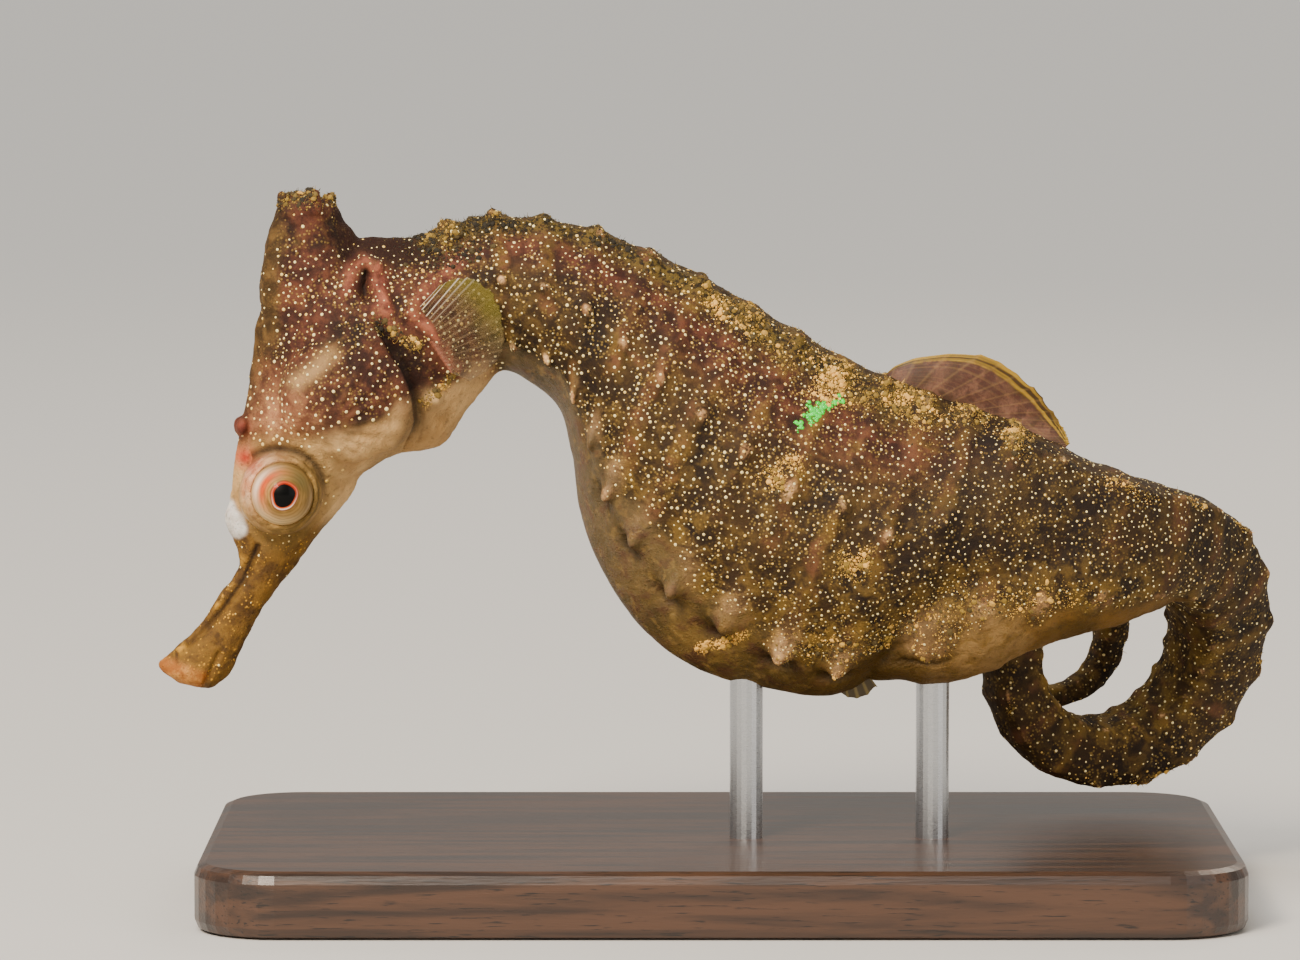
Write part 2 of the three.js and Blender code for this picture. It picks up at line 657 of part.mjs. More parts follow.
addMesh("snout", snout, MATERIALS.skin);
addMesh("head", head, MATERIALS.skin);
addMesh("coronet", coronet, MATERIALS.skin);
addMesh("neck", neck, MATERIALS.skin);
for (const [name, solid] of Object.entries(trunk)) addMesh(name, solid, MATERIALS.skin);
for (const [name, solid] of Object.entries(tail)) addMesh(name, solid, MATERIALS.skin);
addMesh("pouch", pouch, MATERIALS.pouch);
for (const [name] of SIDES) {
  addMesh(`gill_cover_${name}`, gillCovers[name], MATERIALS.skin);
  addMesh(`eye_${name}`, eyes[name], MATERIALS.eye);
  addMesh(`pectoral_fin_${name}`, pectoralFins[name], MATERIALS.fin);
}
addMesh("dorsal_fin", dorsalFin, MATERIALS.fin);
addMesh("anal_fin", analFin, MATERIALS.fin);
addMesh("tag_marker", tag, MATERIALS.tag);
addMesh("stand_rod_front", rods.front, MATERIALS.rod);
addMesh("stand_rod_rear", rods.rear, MATERIALS.rod);
addMesh("stand_base", baseSolid(), MATERIALS.base);

export default seahorse;
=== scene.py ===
"""A life-size seahorse on a display stand.

The skin is worked out from the body's cross-sections, crown, eye turrets, gill covers and pouch. They are
fused by a voxel remesh, carved and given masks, which the skin's material turns into colours. Spots, crust,
fins, eyes and the green marker are pieces of their own. Body sizes are in millimetres, as in the solids, and
they become metres when a mesh is made. The head's features are placed with the head unturned ("flat").
"""

import itertools
import math

import bpy
import numpy as np
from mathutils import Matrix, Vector, kdtree


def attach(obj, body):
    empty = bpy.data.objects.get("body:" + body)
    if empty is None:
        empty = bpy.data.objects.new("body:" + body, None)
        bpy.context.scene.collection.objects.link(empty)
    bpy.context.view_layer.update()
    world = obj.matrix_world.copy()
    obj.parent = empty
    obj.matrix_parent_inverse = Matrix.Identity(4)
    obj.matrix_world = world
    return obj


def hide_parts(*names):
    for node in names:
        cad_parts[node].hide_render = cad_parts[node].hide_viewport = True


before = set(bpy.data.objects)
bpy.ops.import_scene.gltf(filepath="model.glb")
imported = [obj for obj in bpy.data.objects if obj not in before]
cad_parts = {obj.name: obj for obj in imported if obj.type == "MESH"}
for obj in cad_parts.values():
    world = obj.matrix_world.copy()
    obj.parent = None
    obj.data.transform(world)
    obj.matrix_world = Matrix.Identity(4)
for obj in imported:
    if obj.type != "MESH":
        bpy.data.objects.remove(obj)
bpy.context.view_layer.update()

MM = 0.001
BODY = "root"
SIDES = (("left", -1), ("right", 1))
VOXEL = 0.12  # mm

# ---------------------------------------------------------------- driving dimensions, as in the solids

TRUNK_RINGS = 11
TAIL_RINGS = 34
TAIL_LENGTH = 64.0
TAIL_STEP = 0.1
HEAD_YAW = math.radians(8)
YAW_FULL, YAW_START = 10.5, 13.5
PIVOT_X = -13.5

# Dorsal x and z, ventral x and z, half width, dorsal narrowing, ventral narrowing, from lips to tail root.
STATIONS = np.array([
    [-33.7, 15.0, -30.4, 13.4, 1.25, 0.10, 0.10],
    [-33.0, 15.5, -29.4, 14.2, 1.25, 0.10, 0.10],
    [-31.4, 17.0, -28.6, 16.0, 0.95, 0.15, 0.10],
    [-30.1, 18.9, -27.5, 18.0, 0.95, 0.20, 0.10],
    [-28.9, 20.8, -25.9, 20.1, 1.20, 0.25, 0.10],
    [-29.5, 23.1, -23.9, 22.7, 1.90, 0.40, 0.25],
    [-29.3, 25.6, -22.2, 24.8, 2.70, 0.45, 0.35],
    [-28.9, 28.6, -21.5, 26.1, 3.40, 0.50, 0.40],
    [-28.2, 32.2, -19.4, 27.2, 4.10, 0.55, 0.35],
    [-27.5, 35.8, -17.7, 27.5, 4.30, 0.60, 0.35],
    [-25.2, 39.6, -16.4, 28.0, 4.10, 0.60, 0.40],
    [-21.8, 40.2, -15.1, 29.9, 3.90, 0.55, 0.40],
    [-18.6, 40.2, -13.9, 31.4, 3.80, 0.50, 0.35],
    [-16.1, 40.8, -13.1, 32.2, 3.60, 0.40, 0.30],
    [-13.2, 41.4, -11.8, 31.8, 3.70, 0.35, 0.30],
    [-9.6, 41.1, -9.8, 30.2, 4.10, 0.35, 0.35],
    [-5.9, 40.0, -8.9, 27.3, 4.60, 0.35, 0.40],
    [-2.3, 38.4, -8.4, 23.8, 5.20, 0.35, 0.45],
    [1.2, 36.5, -7.2, 20.4, 5.70, 0.35, 0.45],
    [4.5, 34.6, -4.8, 16.8, 6.00, 0.35, 0.45],
    [7.5, 32.9, -1.2, 14.1, 6.10, 0.35, 0.45],
    [10.4, 31.6, 3.3, 13.0, 6.00, 0.35, 0.40],
    [13.3, 30.5, 7.8, 12.9, 5.70, 0.35, 0.35],
    [16.2, 29.6, 13.4, 17.4, 5.20, 0.30, 0.20],
    [19.0, 28.4, 17.4, 18.3, 4.60, 0.20, 0.10],
])
# A place along the body is t: a station's number up to the tail's root, then ROOT plus mm of tail.
ROOT = len(STATIONS) - 1
HEAD_END = 14
NECK = 13.0
TRUNK_END = 22.6
ROOT_DEPTH = math.dist(STATIONS[-1, :2], STATIONS[-1, 2:4]) / 2
FULL_RELIEF_DEPTH = 5  # half depth of the tail, in mm, where its rings stand as high as the trunk's
TAIL = dict(
    aside=math.radians(50), aside_start=1.0, aside_end=11.0, straight=8.0, ramp=6.0, root_curl=0.01,
    outer_curl=0.12, tip_curl=0.3, twist=0.035, tip_size=0.5, taper=3.2, flare=3.0,
)

EYE = dict(x=-26.6, y=3.05, z=25.25, radius=1.95)
GILL = dict(x=-22.6, y=2.55, z=30.9, rx=4.1, ry=2.4, rz=3.9)
CROWN_ROWS = [
    [-27.4, 34.2, -20.6, 38.6, 2.3],
    [-27.6, 36.8, -21.9, 40.3, 2.0],
    [-27.4, 39.2, -22.6, 41.3, 1.7],
    [-27.0, 41.0, -23.0, 42.1, 1.5],
    [-26.5, 42.1, -23.4, 42.2, 1.6],
    [-26.0, 42.8, -24.3, 42.8, 1.0],
]
CROWN_TOP = dict(x=-24.9, z=42.6, rx=1.45, ry=1.35, points=5)
CROWN_POINT = dict(inset=0.9, lean=0.4, height=1.15, foot=0.62, tip=0.22, sides=14)
POUCH_ROWS = [
    [22.25, 0.3, 2.2], [22.6, 2.2, 3.4], [23.0, 4.3, 4.1], [23.5, 4.6, 4.4], [24.0, 4.1, 4.4],
    [25.5, 3.6, 4.2], [27.5, 3.0, 3.9], [29.5, 2.4, 3.5], [31.5, 1.7, 3.0], [33.5, 0.9, 2.4],
    [35.0, 0.2, 1.8],
]
POUCH_LIFT = 1.6


# ---------------------------------------------------------------- small helpers

def smooth(x, low, high):
    """A smooth step from 0 at low to 1 at high."""
    f = np.clip((x - low) / (high - low), 0, 1)
    return f * f * (3 - 2 * f)


def between(x, start, full, fading, end):
    """A smooth rise from start to full, then a fall from fading to end."""
    return smooth(x, start, full) * (1 - smooth(x, fading, end))


def bell(distance, width):
    """A soft share, 1 at no distance and small past the width."""
    return np.exp(-((distance / width) ** 2))


def turn_from(turn, middle):
    """The difference of two angles, from -pi to pi."""
    return (turn - middle + np.pi) % (2 * np.pi) - np.pi


def arc(turn, middle, width):
    """A soft share round one direction."""
    return bell(turn_from(turn, middle), width)


def crests(turns):
    """A wave from 0 to 1 whose crests are at whole numbers."""
    return 0.5 + 0.5 * np.cos(2 * np.pi * turns)


def circle(count):
    """Angles all round, in equal steps."""
    return np.linspace(0, 2 * np.pi, count, endpoint=False)


def unit(v):
    return v / np.maximum(np.linalg.norm(v, axis=-1, keepdims=True), 1e-12)


def hashed(cell, seed):
    """A number from 0 to 1 for each row of three whole numbers, always the same."""
    n = (cell[..., 0] * 73856093) ^ (cell[..., 1] * 19349663) ^ (cell[..., 2] * 83492791) ^ (seed * 2654435)
    n = (n ^ (n >> 13)) & 0xFFFFFFF
    n = (n * 1103515245 + 12345) & 0x7FFFFFFF
    n = (n ^ (n >> 11)) * 69069 & 0x7FFFFFFF
    return ((n >> 7) & 0xFFFF) / 65535.0


def noise(points, size, seed):
    """Smooth noise from -1 to 1 whose blobs are about this size in mm."""
    p = np.asarray(points, float) / size + 0.37 * seed
    cell = np.floor(p).astype(np.int64)
    f = p - cell
    f = f * f * (3 - 2 * f)
    total = np.zeros(len(p))
    for corner in itertools.product((0, 1), repeat=3):
        weight = np.prod(np.where(np.array(corner) == 1, f, 1 - f), axis=1)
        total += weight * hashed(cell + np.array(corner), seed)
    return total * 2 - 1


def cloud(points, size, seed):
    """Noise in three layers, from about -1 to 1."""
    return sum(noise(points, size / 2**i, seed + i) / 2**i for i in range(3)) / 1.5


def line_distance(points, line):
    """Distance of each 2-D point from a polyline, and how far along it the nearest place is, from 0 to 1."""
    line = np.asarray(line, float)
    best = np.full(len(points), 1e9)
    along = np.zeros(len(points))
    for i, (a, b) in enumerate(zip(line[:-1], line[1:])):
        ab = b - a
        f = np.clip(((points - a) @ ab) / (ab @ ab), 0, 1)
        d = np.linalg.norm(points - a - f[:, None] * ab, axis=1)
        nearer = d < best
        best[nearer] = d[nearer]
        along[nearer] = (i + f[nearer]) / (len(line) - 1)
    return best, along


def line_side(points, line):
    """As line_distance, with the distance negative on the right of the line."""
    line = np.asarray(line, float)
    distance, along = line_distance(points, line)
    i = np.minimum((along * (len(line) - 1)).astype(int), len(line) - 2)
    ab, ap = line[i + 1] - line[i], points - line[i]
    return np.where(ab[:, 0] * ap[:, 1] > ab[:, 1] * ap[:, 0], distance, -distance), along


# ---------------------------------------------------------------- the body's cross-sections

def spline(rows, t):
    """rows at each t by a uniform Catmull-Rom spline that runs straight at its ends."""
    rows = np.vstack([2 * rows[0] - rows[1], rows, 2 * rows[-1] - rows[-2]])
    i = np.clip(np.floor(t).astype(int), 0, len(rows) - 4)
    f = (t - i)[:, None]
    a, b, c, d = rows[i], rows[i + 1], rows[i + 2], rows[i + 3]
    return 0.5 * (2 * b + (c - a) * f + (2 * a - 5 * b + 4 * c - d) * f**2 + (3 * b - a - 3 * c + d) * f**3)


def follow(rows, f):
    """rows at shares f of the way through them."""
    return spline(np.asarray(rows, float), f * (len(rows) - 1))


def head_turn(t):
    return HEAD_YAW * (1 - smooth(t, YAW_FULL, YAW_START))


def turned(points, angle):
    """points turned by angle about the upright line through the neck."""
    c, s = np.cos(angle), np.sin(angle)
    x, y = points[..., 0] - PIVOT_X, points[..., 1]
    return np.stack([PIVOT_X + x * c - y * s, x * s + y * c, points[..., 2]], axis=-1)


def tail_path():
    """The tail's middle, along, up and side directions at every TAIL_STEP."""
    top, bottom = STATIONS[-1, :2], STATIONS[-1, 2:4]
    at = np.array([(top[0] + bottom[0]) / 2, 0, (top[1] + bottom[1]) / 2])
    up = unit(np.array([top[0] - bottom[0], 0, top[1] - bottom[1]]))
    side = np.array([0.0, 1.0, 0.0])
    along = np.cross(side, up)
    bend = TAIL["aside_end"] - TAIL["aside_start"]
    spiral = TAIL_LENGTH - TAIL["straight"] - TAIL["ramp"]
    rows = []
    for i in range(round(TAIL_LENGTH / TAIL_STEP) + 1):
        s = i * TAIL_STEP
        rows.append([at.copy(), along.copy(), up.copy(), side.copy()])
        swing = min(max((s - TAIL["aside_start"]) / bend, 0), 1)
        aside = TAIL["aside"] / bend * math.pi / 2 * math.sin(math.pi * swing)
        onset = float(smooth(s, TAIL["straight"], TAIL["straight"] + TAIL["ramp"]))
        wound = max(0.0, (s - TAIL["straight"] - TAIL["ramp"]) / spiral) ** 1.5
        curl = TAIL["root_curl"] + (TAIL["outer_curl"] - TAIL["root_curl"]) * onset
        curl += (TAIL["tip_curl"] - TAIL["outer_curl"]) * wound
        ahead = unit(along - up * curl * TAIL_STEP + side * aside * TAIL_STEP)
        side = side - along * aside * TAIL_STEP + up * TAIL["twist"] * onset * TAIL_STEP
        side = unit(side - ahead * (side @ ahead))
        up = np.cross(ahead, side)
        at = at + along * TAIL_STEP
        along = ahead
    return np.array(rows)


TAIL_PATH = tail_path()


def tail_depth(s):
    """Half the tail's depth s mm from its root: a taper that flares into the rump."""
    taper = TAIL["tip_size"] + TAIL["taper"] * (1 - s / TAIL_LENGTH)
    return taper + (ROOT_DEPTH - TAIL["tip_size"] - TAIL["taper"]) * np.exp(-s / TAIL["flare"])


def section(t):
    """The frame and size of the body's section at each t. A square of 2 is an oval, more is squarer."""
    t = np.atleast_1d(np.asarray(t, float))
    body = np.minimum(t, ROOT)
    row = spline(STATIONS, body)
    zero = np.zeros(len(t))
    top = np.stack([row[:, 0], zero, row[:, 1]], axis=1)
    bottom = np.stack([row[:, 2], zero, row[:, 3]], axis=1)
    turn = head_turn(body)
    up = top - bottom
    level = np.array([PIVOT_X, 0, 0])
    out = dict(
        at=turned((top + bottom) / 2, turn),
        up=turned(unit(up) + level, turn) - level,
        side=np.stack([-np.sin(turn), np.cos(turn), zero], axis=1),
        half_depth=np.linalg.norm(up, axis=1) / 2,
        half_width=row[:, 4],
        dorsal=row[:, 5],
        ventral=row[:, 6],
        square=2 + 1.2 * smooth(t, TRUNK_END, ROOT),
    )
    on_tail = t > ROOT
    s = np.clip(t[on_tail] - ROOT, 0, TAIL_LENGTH)
    path = TAIL_PATH[np.rint(s / TAIL_STEP).astype(int)]
    flare, depth = np.exp(-s / TAIL["flare"]), tail_depth(s)
    for key, value in dict(
        at=path[:, 0], up=path[:, 2], side=path[:, 3], half_depth=depth,
        half_width=depth * (0.96 - 0.06 * flare), dorsal=0.2 * flare, ventral=0.1 * flare,
    ).items():
        out[key][on_tail] = value
    return out


def ring_of(t):
    """Which bony ring a section lies at: whole numbers are the crests."""
    trunk = (t - NECK) / (TRUNK_END - NECK) * TRUNK_RINGS
    rump = TRUNK_RINGS + (np.minimum(t, ROOT) - TRUNK_END) * 1.1
    left = np.clip(1 - np.maximum(t - ROOT, 0) / TAIL_LENGTH, 0, 1)
    tail = (TAIL_RINGS - 2) * (1 - np.sqrt(left) ** 1.25)
    return np.where(t <= TRUNK_END, trunk, rump + tail)


def lateral_ridge(t):
    """Degrees from the back to the ridge along the middle of the side."""
    return 76 + 8 * smooth(t, 20, 22)


def lower_ridge(t):
    """Degrees from the back to the lowest ridge."""
    return 120 + 8 * smooth(t, 14, 19) + 12 * smooth(t, 19.5, 22)


def ridge_marks(t, degrees):
    """Where pale knobs lie, from 0 to 1, and how far rings, ridges and knobs lift the skin in mm."""
    ring = ring_of(t)
    wave = crests(ring)
    fade = smooth(t, NECK - 0.5, NECK + 0.8)
    on_tail = smooth(t, TRUNK_END - 0.3, TRUNK_END + 0.5)
    number = np.rint(ring).astype(np.int64)
    stress = np.where(number % 2 == 1, 1.0, 0.7)
    size = np.where(t > ROOT, tail_depth(np.maximum(t - ROOT, 0)) / FULL_RELIEF_DEPTH, 1.0)
    side = np.abs(degrees)
    # For each ridge: its angle, the height of its knobs, its own height and its width in degrees.
    trunk = [(24, 0.5, 0.3, 7.0), (lateral_ridge(t), 0.42, 0.1, 5.0), (lower_ridge(t), 0.95, 0.1, 4.6)]
    tail = [(45, 0.55, 0.15, 10), (135, 0.35, 0.1, 10)]
    knob = np.zeros_like(wave)
    lift = 0.17 * wave**2 * np.where(side < lower_ridge(t) + 4, 1, on_tail)
    for share, ridges in ((1 - on_tail, trunk), (on_tail, tail)):
        for line, (angle, height, ridge, width) in enumerate(ridges):
            cell = np.stack([number, np.full_like(number, line), (degrees > 0).astype(np.int64)], axis=-1)
            chance = hashed(cell, 3)
            lift = lift + share * bell(side - angle, width) * (ridge + height * stress * wave**4)
            spot = bell(side - angle - 4 * (chance - 0.5), width * 0.62) * wave**7
            knob = np.maximum(knob, share * spot * np.where(height > 0.9, 1.0, 0.45 + 0.55 * chance))
    return knob * fade, lift * fade * size


def skin_points(t, degrees):
    """The body's surface, one row of points for each section t and one column for each angle."""
    form = section(t)
    angle = np.radians(degrees)
    c, s = np.cos(angle)[None], np.sin(angle)[None]
    half_depth, half_width, dorsal, ventral, square = (
        form[key][:, None] for key in ("half_depth", "half_width", "dorsal", "ventral", "square")
    )
    power = 2 / square
    narrowing = np.where(c > 0, dorsal * np.abs(c) ** 1.5, ventral * c * c)
    z = half_depth * np.sign(c) * np.abs(c) ** power
    y = half_width * np.sign(s) * np.abs(s) ** power * (1 - narrowing)
    out = z[..., None] * form["up"][:, None] + y[..., None] * form["side"][:, None]
    lift = ridge_marks(*np.broadcast_arrays(t[:, None], degrees[None]))[1]
    length = np.maximum(np.linalg.norm(out, axis=-1), 0.3)
    return form["at"][:, None] + out * (1 + np.minimum(lift / length, 0.6))[..., None]


# ---------------------------------------------------------------- closed shapes, in mm

def tube(rings):
    """A closed tube through (rings, corners, 3) points: its vertices and faces."""
    n, m, _ = rings.shape
    points = np.vstack([rings.reshape(-1, 3), rings[0].mean(0), rings[-1].mean(0)])
    i, j = np.meshgrid(np.arange(n - 1), np.arange(m), indexing="ij")
    a, b = i * m + j, i * m + (j + 1) % m
    faces = np.stack([a, b, b + m, a + m], axis=-1).reshape(-1, 4).tolist()
    for j in range(m):
        k = (j + 1) % m
        faces.append([n * m, k, j])
        faces.append([n * m + 1, (n - 1) * m + j, (n - 1) * m + k])
    return points, faces


def lathe(profile, at, axis, turns=72):
    """A closed solid turned about an axis, from (radius, height) pairs that start and end near the axis."""
    axis = unit(np.asarray(axis, float))
    a = unit(np.cross(axis, [0, 0, 1.0]))
    b = np.cross(axis, a)
    angle = circle(turns)
    spokes = np.cos(angle)[:, None] * a + np.sin(angle)[:, None] * b
    return tube(np.array([at + radius * spokes + height * axis for radius, height in profile]))


def ball(at, radii, turns=28):
    """An ellipsoid."""
    angle = circle(turns)
    rings = np.array([
        np.stack([np.sin(r) * np.cos(angle), np.sin(r) * np.sin(angle), np.full(turns, np.cos(r))], axis=1)
        for r in np.linspace(0.02, np.pi - 0.02, turns // 2)
    ])
    return tube(rings * np.asarray(radii) + np.asarray(at))


def rod(a, b, ra, rb, sides):
    """A straight taper from a to b."""
    length = np.linalg.norm(b - a)
    return lathe([(ra * 0.5, -ra * 0.3), (ra, 0), (rb, length), (rb * 0.4, length)], a, b - a, sides)


def in_head(shape):
    points, faces = shape
    return turned(points, HEAD_YAW), faces


def joined(shapes):
    """Several shapes as one list of vertices and one of faces."""
    points, faces, start = [], [], 0
    for p, f in shapes:
        points.append(p)
        faces.extend([[i + start for i in face] for face in f])
        start += len(p)
    return np.vstack(points), faces


def placed(name, data):
    """A new object in the scene."""
    thing = bpy.data.objects.new(name, data)
    bpy.context.scene.collection.objects.link(thing)
    return thing


def object_from(name, points, faces, scale=MM):
    """A mesh object from points in mm."""
    mesh = bpy.data.meshes.new(name)
    mesh.from_pydata((np.asarray(points) * scale).tolist(), [], faces)
    mesh.update()
    return placed(name, mesh)


def piece(name, shape, material, slot, replaced=(), flat_shaded=False, **shares):
    """A finished piece of the animal, riding on its body, with shares that its material reads."""
    thing = object_from(name, *shape)
    mesh = thing.data
    mesh.materials.append(material)
    if not flat_shaded:
        mesh.polygons.foreach_set("use_smooth", [True] * len(mesh.polygons))
    for share, values in shares.items():
        layer = mesh.attributes.new(share, "FLOAT", "POINT")
        layer.data.foreach_set("value", np.asarray(values, np.float32))
    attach(thing, BODY)
    if replaced:
        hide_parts(*replaced)
    return thing


def numbers_of(items, key, kind, width=1):
    """One property of all of a mesh's items, as an array."""
    numbers = np.empty(len(items) * width, kind)
    items.foreach_get(key, numbers)
    return numbers


# ---------------------------------------------------------------- the skin's form

def end_cap(ring, inner):
    """Rings that close a tube's end in a low dome. inner is a ring of the tube further in."""
    middle = ring.mean(0)
    ahead = unit(middle - inner.mean(0))
    size = np.linalg.norm(ring - middle, axis=1).mean()
    return [
        middle + (ring - middle) * math.cos(a) + ahead * size * 0.45 * math.sin(a)
        for a in np.radians([25, 45, 62, 76, 85])
    ]


def sections(body_step, tail_step, tail_end):
    """Sections from the lips to tail_end mm of tail, in steps of stations and then of mm."""
    return np.concatenate([np.arange(0.0, ROOT, body_step), ROOT + np.arange(0.0, tail_end, tail_step)])


def trunk_and_tail():
    t = sections(0.05, 0.2, TAIL_LENGTH - 0.6)
    degrees = np.linspace(0, 360, 200, endpoint=False)
    degrees = np.where(degrees > 180, degrees - 360, degrees)
    rings = skin_points(t, degrees)
    lips, tip = end_cap(rings[0], rings[4]), end_cap(rings[-1], rings[-3])
    return tube(np.concatenate([lips[::-1], rings, tip]))


def crown():
    """The crown's fluted wall and the small points on its rim."""
    angle = circle(96)
    flutes = 1 + 0.05 * np.cos(angle * CROWN_TOP["points"])
    rings = []
    for front_x, front_z, back_x, back_z, half_width in follow(CROWN_ROWS, np.linspace(0, 1, 60)):
        front, back = np.array([front_x, 0, front_z]), np.array([back_x, 0, back_z])
        middle, half = (front + back) / 2, (back - front) / 2
        ring = middle + np.cos(angle)[:, None] * half
        ring[:, 1] = half_width * np.sin(angle)
        rings.append(middle + (ring - middle) * flutes[:, None])
    shapes = [tube(np.array(rings))]
    for a in circle(CROWN_TOP["points"]):
        forward = CROWN_TOP["rx"] * math.cos(a) * CROWN_POINT["inset"]
        across = CROWN_TOP["ry"] * math.sin(a) * CROWN_POINT["inset"]
        foot = np.array([CROWN_TOP["x"] + forward, across, CROWN_TOP["z"] - 0.5 - 0.3 * abs(forward)])
        lean = CROWN_POINT["lean"]
        tip = foot + np.array([lean * math.cos(a), lean * math.sin(a), CROWN_POINT["height"]])
        shapes.append(rod(foot, tip, CROWN_POINT["foot"], CROWN_POINT["tip"], CROWN_POINT["sides"]))
    return shapes


# The cone of skin round an eye: radius, and height past the eyeball's middle.
TURRET = [
    (0.05, -2.6), (1.9, -2.6), (2.35, -2.1), (2.56, -1.4), (2.56, -0.7), (2.42, 0.0), (2.25, 0.34),
    (2.12, 0.58), (2.0, 0.7), (1.9, 0.68), (1.84, 0.55), (1.81, 0.3), (0.05, 0.2),
]
# Places and radii of swellings.
NOSE_BUMP = ([-28.95, 0, 23.5], [0.75, 0.75, 1.3])
BROW_RIDGE = ([-28.75, 0.6, 29.0], [0.42, 0.95, 0.65])
HOLE_SWELLING = ([-21.3, 1.8, 37.6], [0.9, 0.9, 1.7])


def head_side(sign):
    """The eye turret, brow ridge, breathing hole and gill cover of one side."""
    shapes = [lathe(TURRET, np.array([EYE["x"], sign * EYE["y"], EYE["z"]]), [0, sign, 0])]
    shapes += [ball([x, sign * y, z], radii) for (x, y, z), radii in (BROW_RIDGE, HOLE_SWELLING)]
    return [*shapes, ball([GILL["x"], sign * GILL["y"], GILL["z"]], [GILL["rx"], GILL["ry"], GILL["rz"]], 64)]


def pouch():
    t, deep, wide = follow(POUCH_ROWS, np.linspace(0, 1, 70)).T[..., None]
    form = section(t[:, 0])
    angle = circle(80)
    middle = form["at"] + form["up"] * (POUCH_LIFT - form["half_depth"])[:, None]
    down = ((deep + POUCH_LIFT) * np.cos(angle))[..., None] * form["up"][:, None]
    across = (wide * np.sin(angle))[..., None] * form["side"][:, None]
    return tube(middle[:, None] + down + across)


def fused(shapes):
    """One closed surface round all the shapes: its vertices and four-cornered faces, in mm."""
    thing = object_from("skin_blank", *joined(shapes), 1.0)
    remesh = thing.modifiers.new("fuse", "REMESH")
    remesh.mode = "VOXEL"
    remesh.voxel_size = VOXEL
    shape = thing.evaluated_get(bpy.context.evaluated_depsgraph_get()).to_mesh()
    verts = numbers_of(shape.vertices, "co", float, 3).reshape(-1, 3)
    corners = numbers_of(shape.loops, "vertex_index", int)
    starts, totals = (numbers_of(shape.polygons, key, int) for key in ("loop_start", "loop_total"))
    quads = np.stack([corners[starts + k] for k in range(4)], axis=1)[totals == 4]
    thing.to_mesh_clear()
    bpy.data.objects.remove(thing)
    return largest(verts, quads)


def edges_of(quads):
    return np.vstack([quads[:, [k, (k + 1) % 4]] for k in range(4)])


def largest(verts, quads):
    """Only the biggest connected surface, without the faces that the remesh leaves inside."""
    label = np.arange(len(verts))
    edges = edges_of(quads)
    while True:
        low = np.minimum(label[edges[:, 0]], label[edges[:, 1]])
        before = label.copy()
        np.minimum.at(label, edges[:, 0], low)
        np.minimum.at(label, edges[:, 1], low)
        label = label[label]
        if (label == before).all():
            break
    keep = label == np.bincount(label).argmax()
    number = np.cumsum(keep) - 1
    return verts[keep], number[quads[keep[quads[:, 0]]]]


def relaxed(verts, quads, rounds):
    """verts moved halfway to their neighbours' middle, some times over."""
    edges = edges_of(quads)
    ends, others = np.concatenate([edges, edges[:, ::-1]]).T
    count = np.bincount(ends, minlength=len(verts))[:, None]
    for _ in range(rounds):
        total = np.stack([np.bincount(ends, verts[others, k], len(verts)) for k in range(3)], axis=1)
        verts = verts + 0.5 * (total / count - verts)
    return verts


def normals_of(verts, quads):
    across = np.cross(verts[quads[:, 2]] - verts[quads[:, 0]], verts[quads[:, 3]] - verts[quads[:, 1]])
    total = np.zeros_like(verts)
    for k, axis in itertools.product(range(4), range(3)):
        total[:, axis] += np.bincount(quads[:, k], across[:, axis], len(verts))
    return unit(total)


def body_places(verts):
    """The section t and angle in degrees nearest each vertex."""
    t = sections(0.1, 0.25, TAIL_LENGTH)
    degrees = np.linspace(-180, 180, 120, endpoint=False)
    grid = skin_points(t, degrees).reshape(-1, 3)
    tree = kdtree.KDTree(len(grid))
    for i, p in enumerate(grid):
        tree.insert(p, i)
    tree.balance()
    near = np.array([[(i, d) for _, i, d in tree.find_n(p, 4)] for p in verts])
    index = near[..., 0].astype(int)
    softening = 0.03  # mm
    weight = 1 / (near[..., 1] + softening) ** 2
    weight /= weight.sum(1, keepdims=True)
    place = (t[index // len(degrees)] * weight).sum(1)
    angle = np.radians(degrees[index % len(degrees)])
    turn = np.arctan2((np.sin(angle) * weight).sum(1), (np.cos(angle) * weight).sum(1))
    return place, np.degrees(turn)


# ---------------------------------------------------------------- the skin's features

# Lines on the side of the unturned head: x and z in mm.
GILL_REAR = [
    (-21.6, 36.0), (-20.8, 34.6), (-19.8, 32.9), (-19.1, 31.1), (-18.8, 29.4), (-19.3, 27.6), (-20.6, 26.4),
]
GILL_MEMBRANE = [(-19.3, 33.0), (-18.5, 31.0), (-18.0, 29.2), (-18.3, 27.6)]
MEMBRANE_FRONT = [(x - 0.4, z) for x, z in GILL_MEMBRANE]
BREATHING_HOLE = [(-21.5, 38.3), (-21.65, 37.7), (-21.55, 37.0)]
HOLE_RIM = [
    (-22.6, 37.2), (-22.3, 38.4), (-21.5, 38.95), (-20.9, 38.2), (-20.8, 36.9), (-20.4, 35.5), (-19.9, 34.6),
]
LOBE = [(-20.7, 38.6), (-20.45, 37.8), (-20.5, 36.9), (-20.2, 36.0)]  # bright edge of the hole's fold
BROW_FOLD = [(-25.7, 31.9), (-24.8, 32.5), (-23.7, 33.6)]
SHOULDER = [(-18.9, 35.9), (-17.7, 34.9), (-16.7, 33.7), (-16.1, 32.6)]
SHOULDER_UPPER = [(-18.6, 36.4), (-17.4, 37.4), (-15.6, 38.9)]
SNOUT_GROOVE = [(-27.9, 21.9), (-28.7, 19.9), (-29.9, 18.2), (-31.4, 16.6), (-32.0, 16.1)]
SNOUT_RIDGE = [(-28.9, 21.0), (-29.6, 19.4), (-30.6, 18.2), (-31.9, 16.9), (-32.6, 15.7)]
JAW_LINE = [(-30.2, 15.5), (-30.7, 14.4), (-31.3, 13.0)]
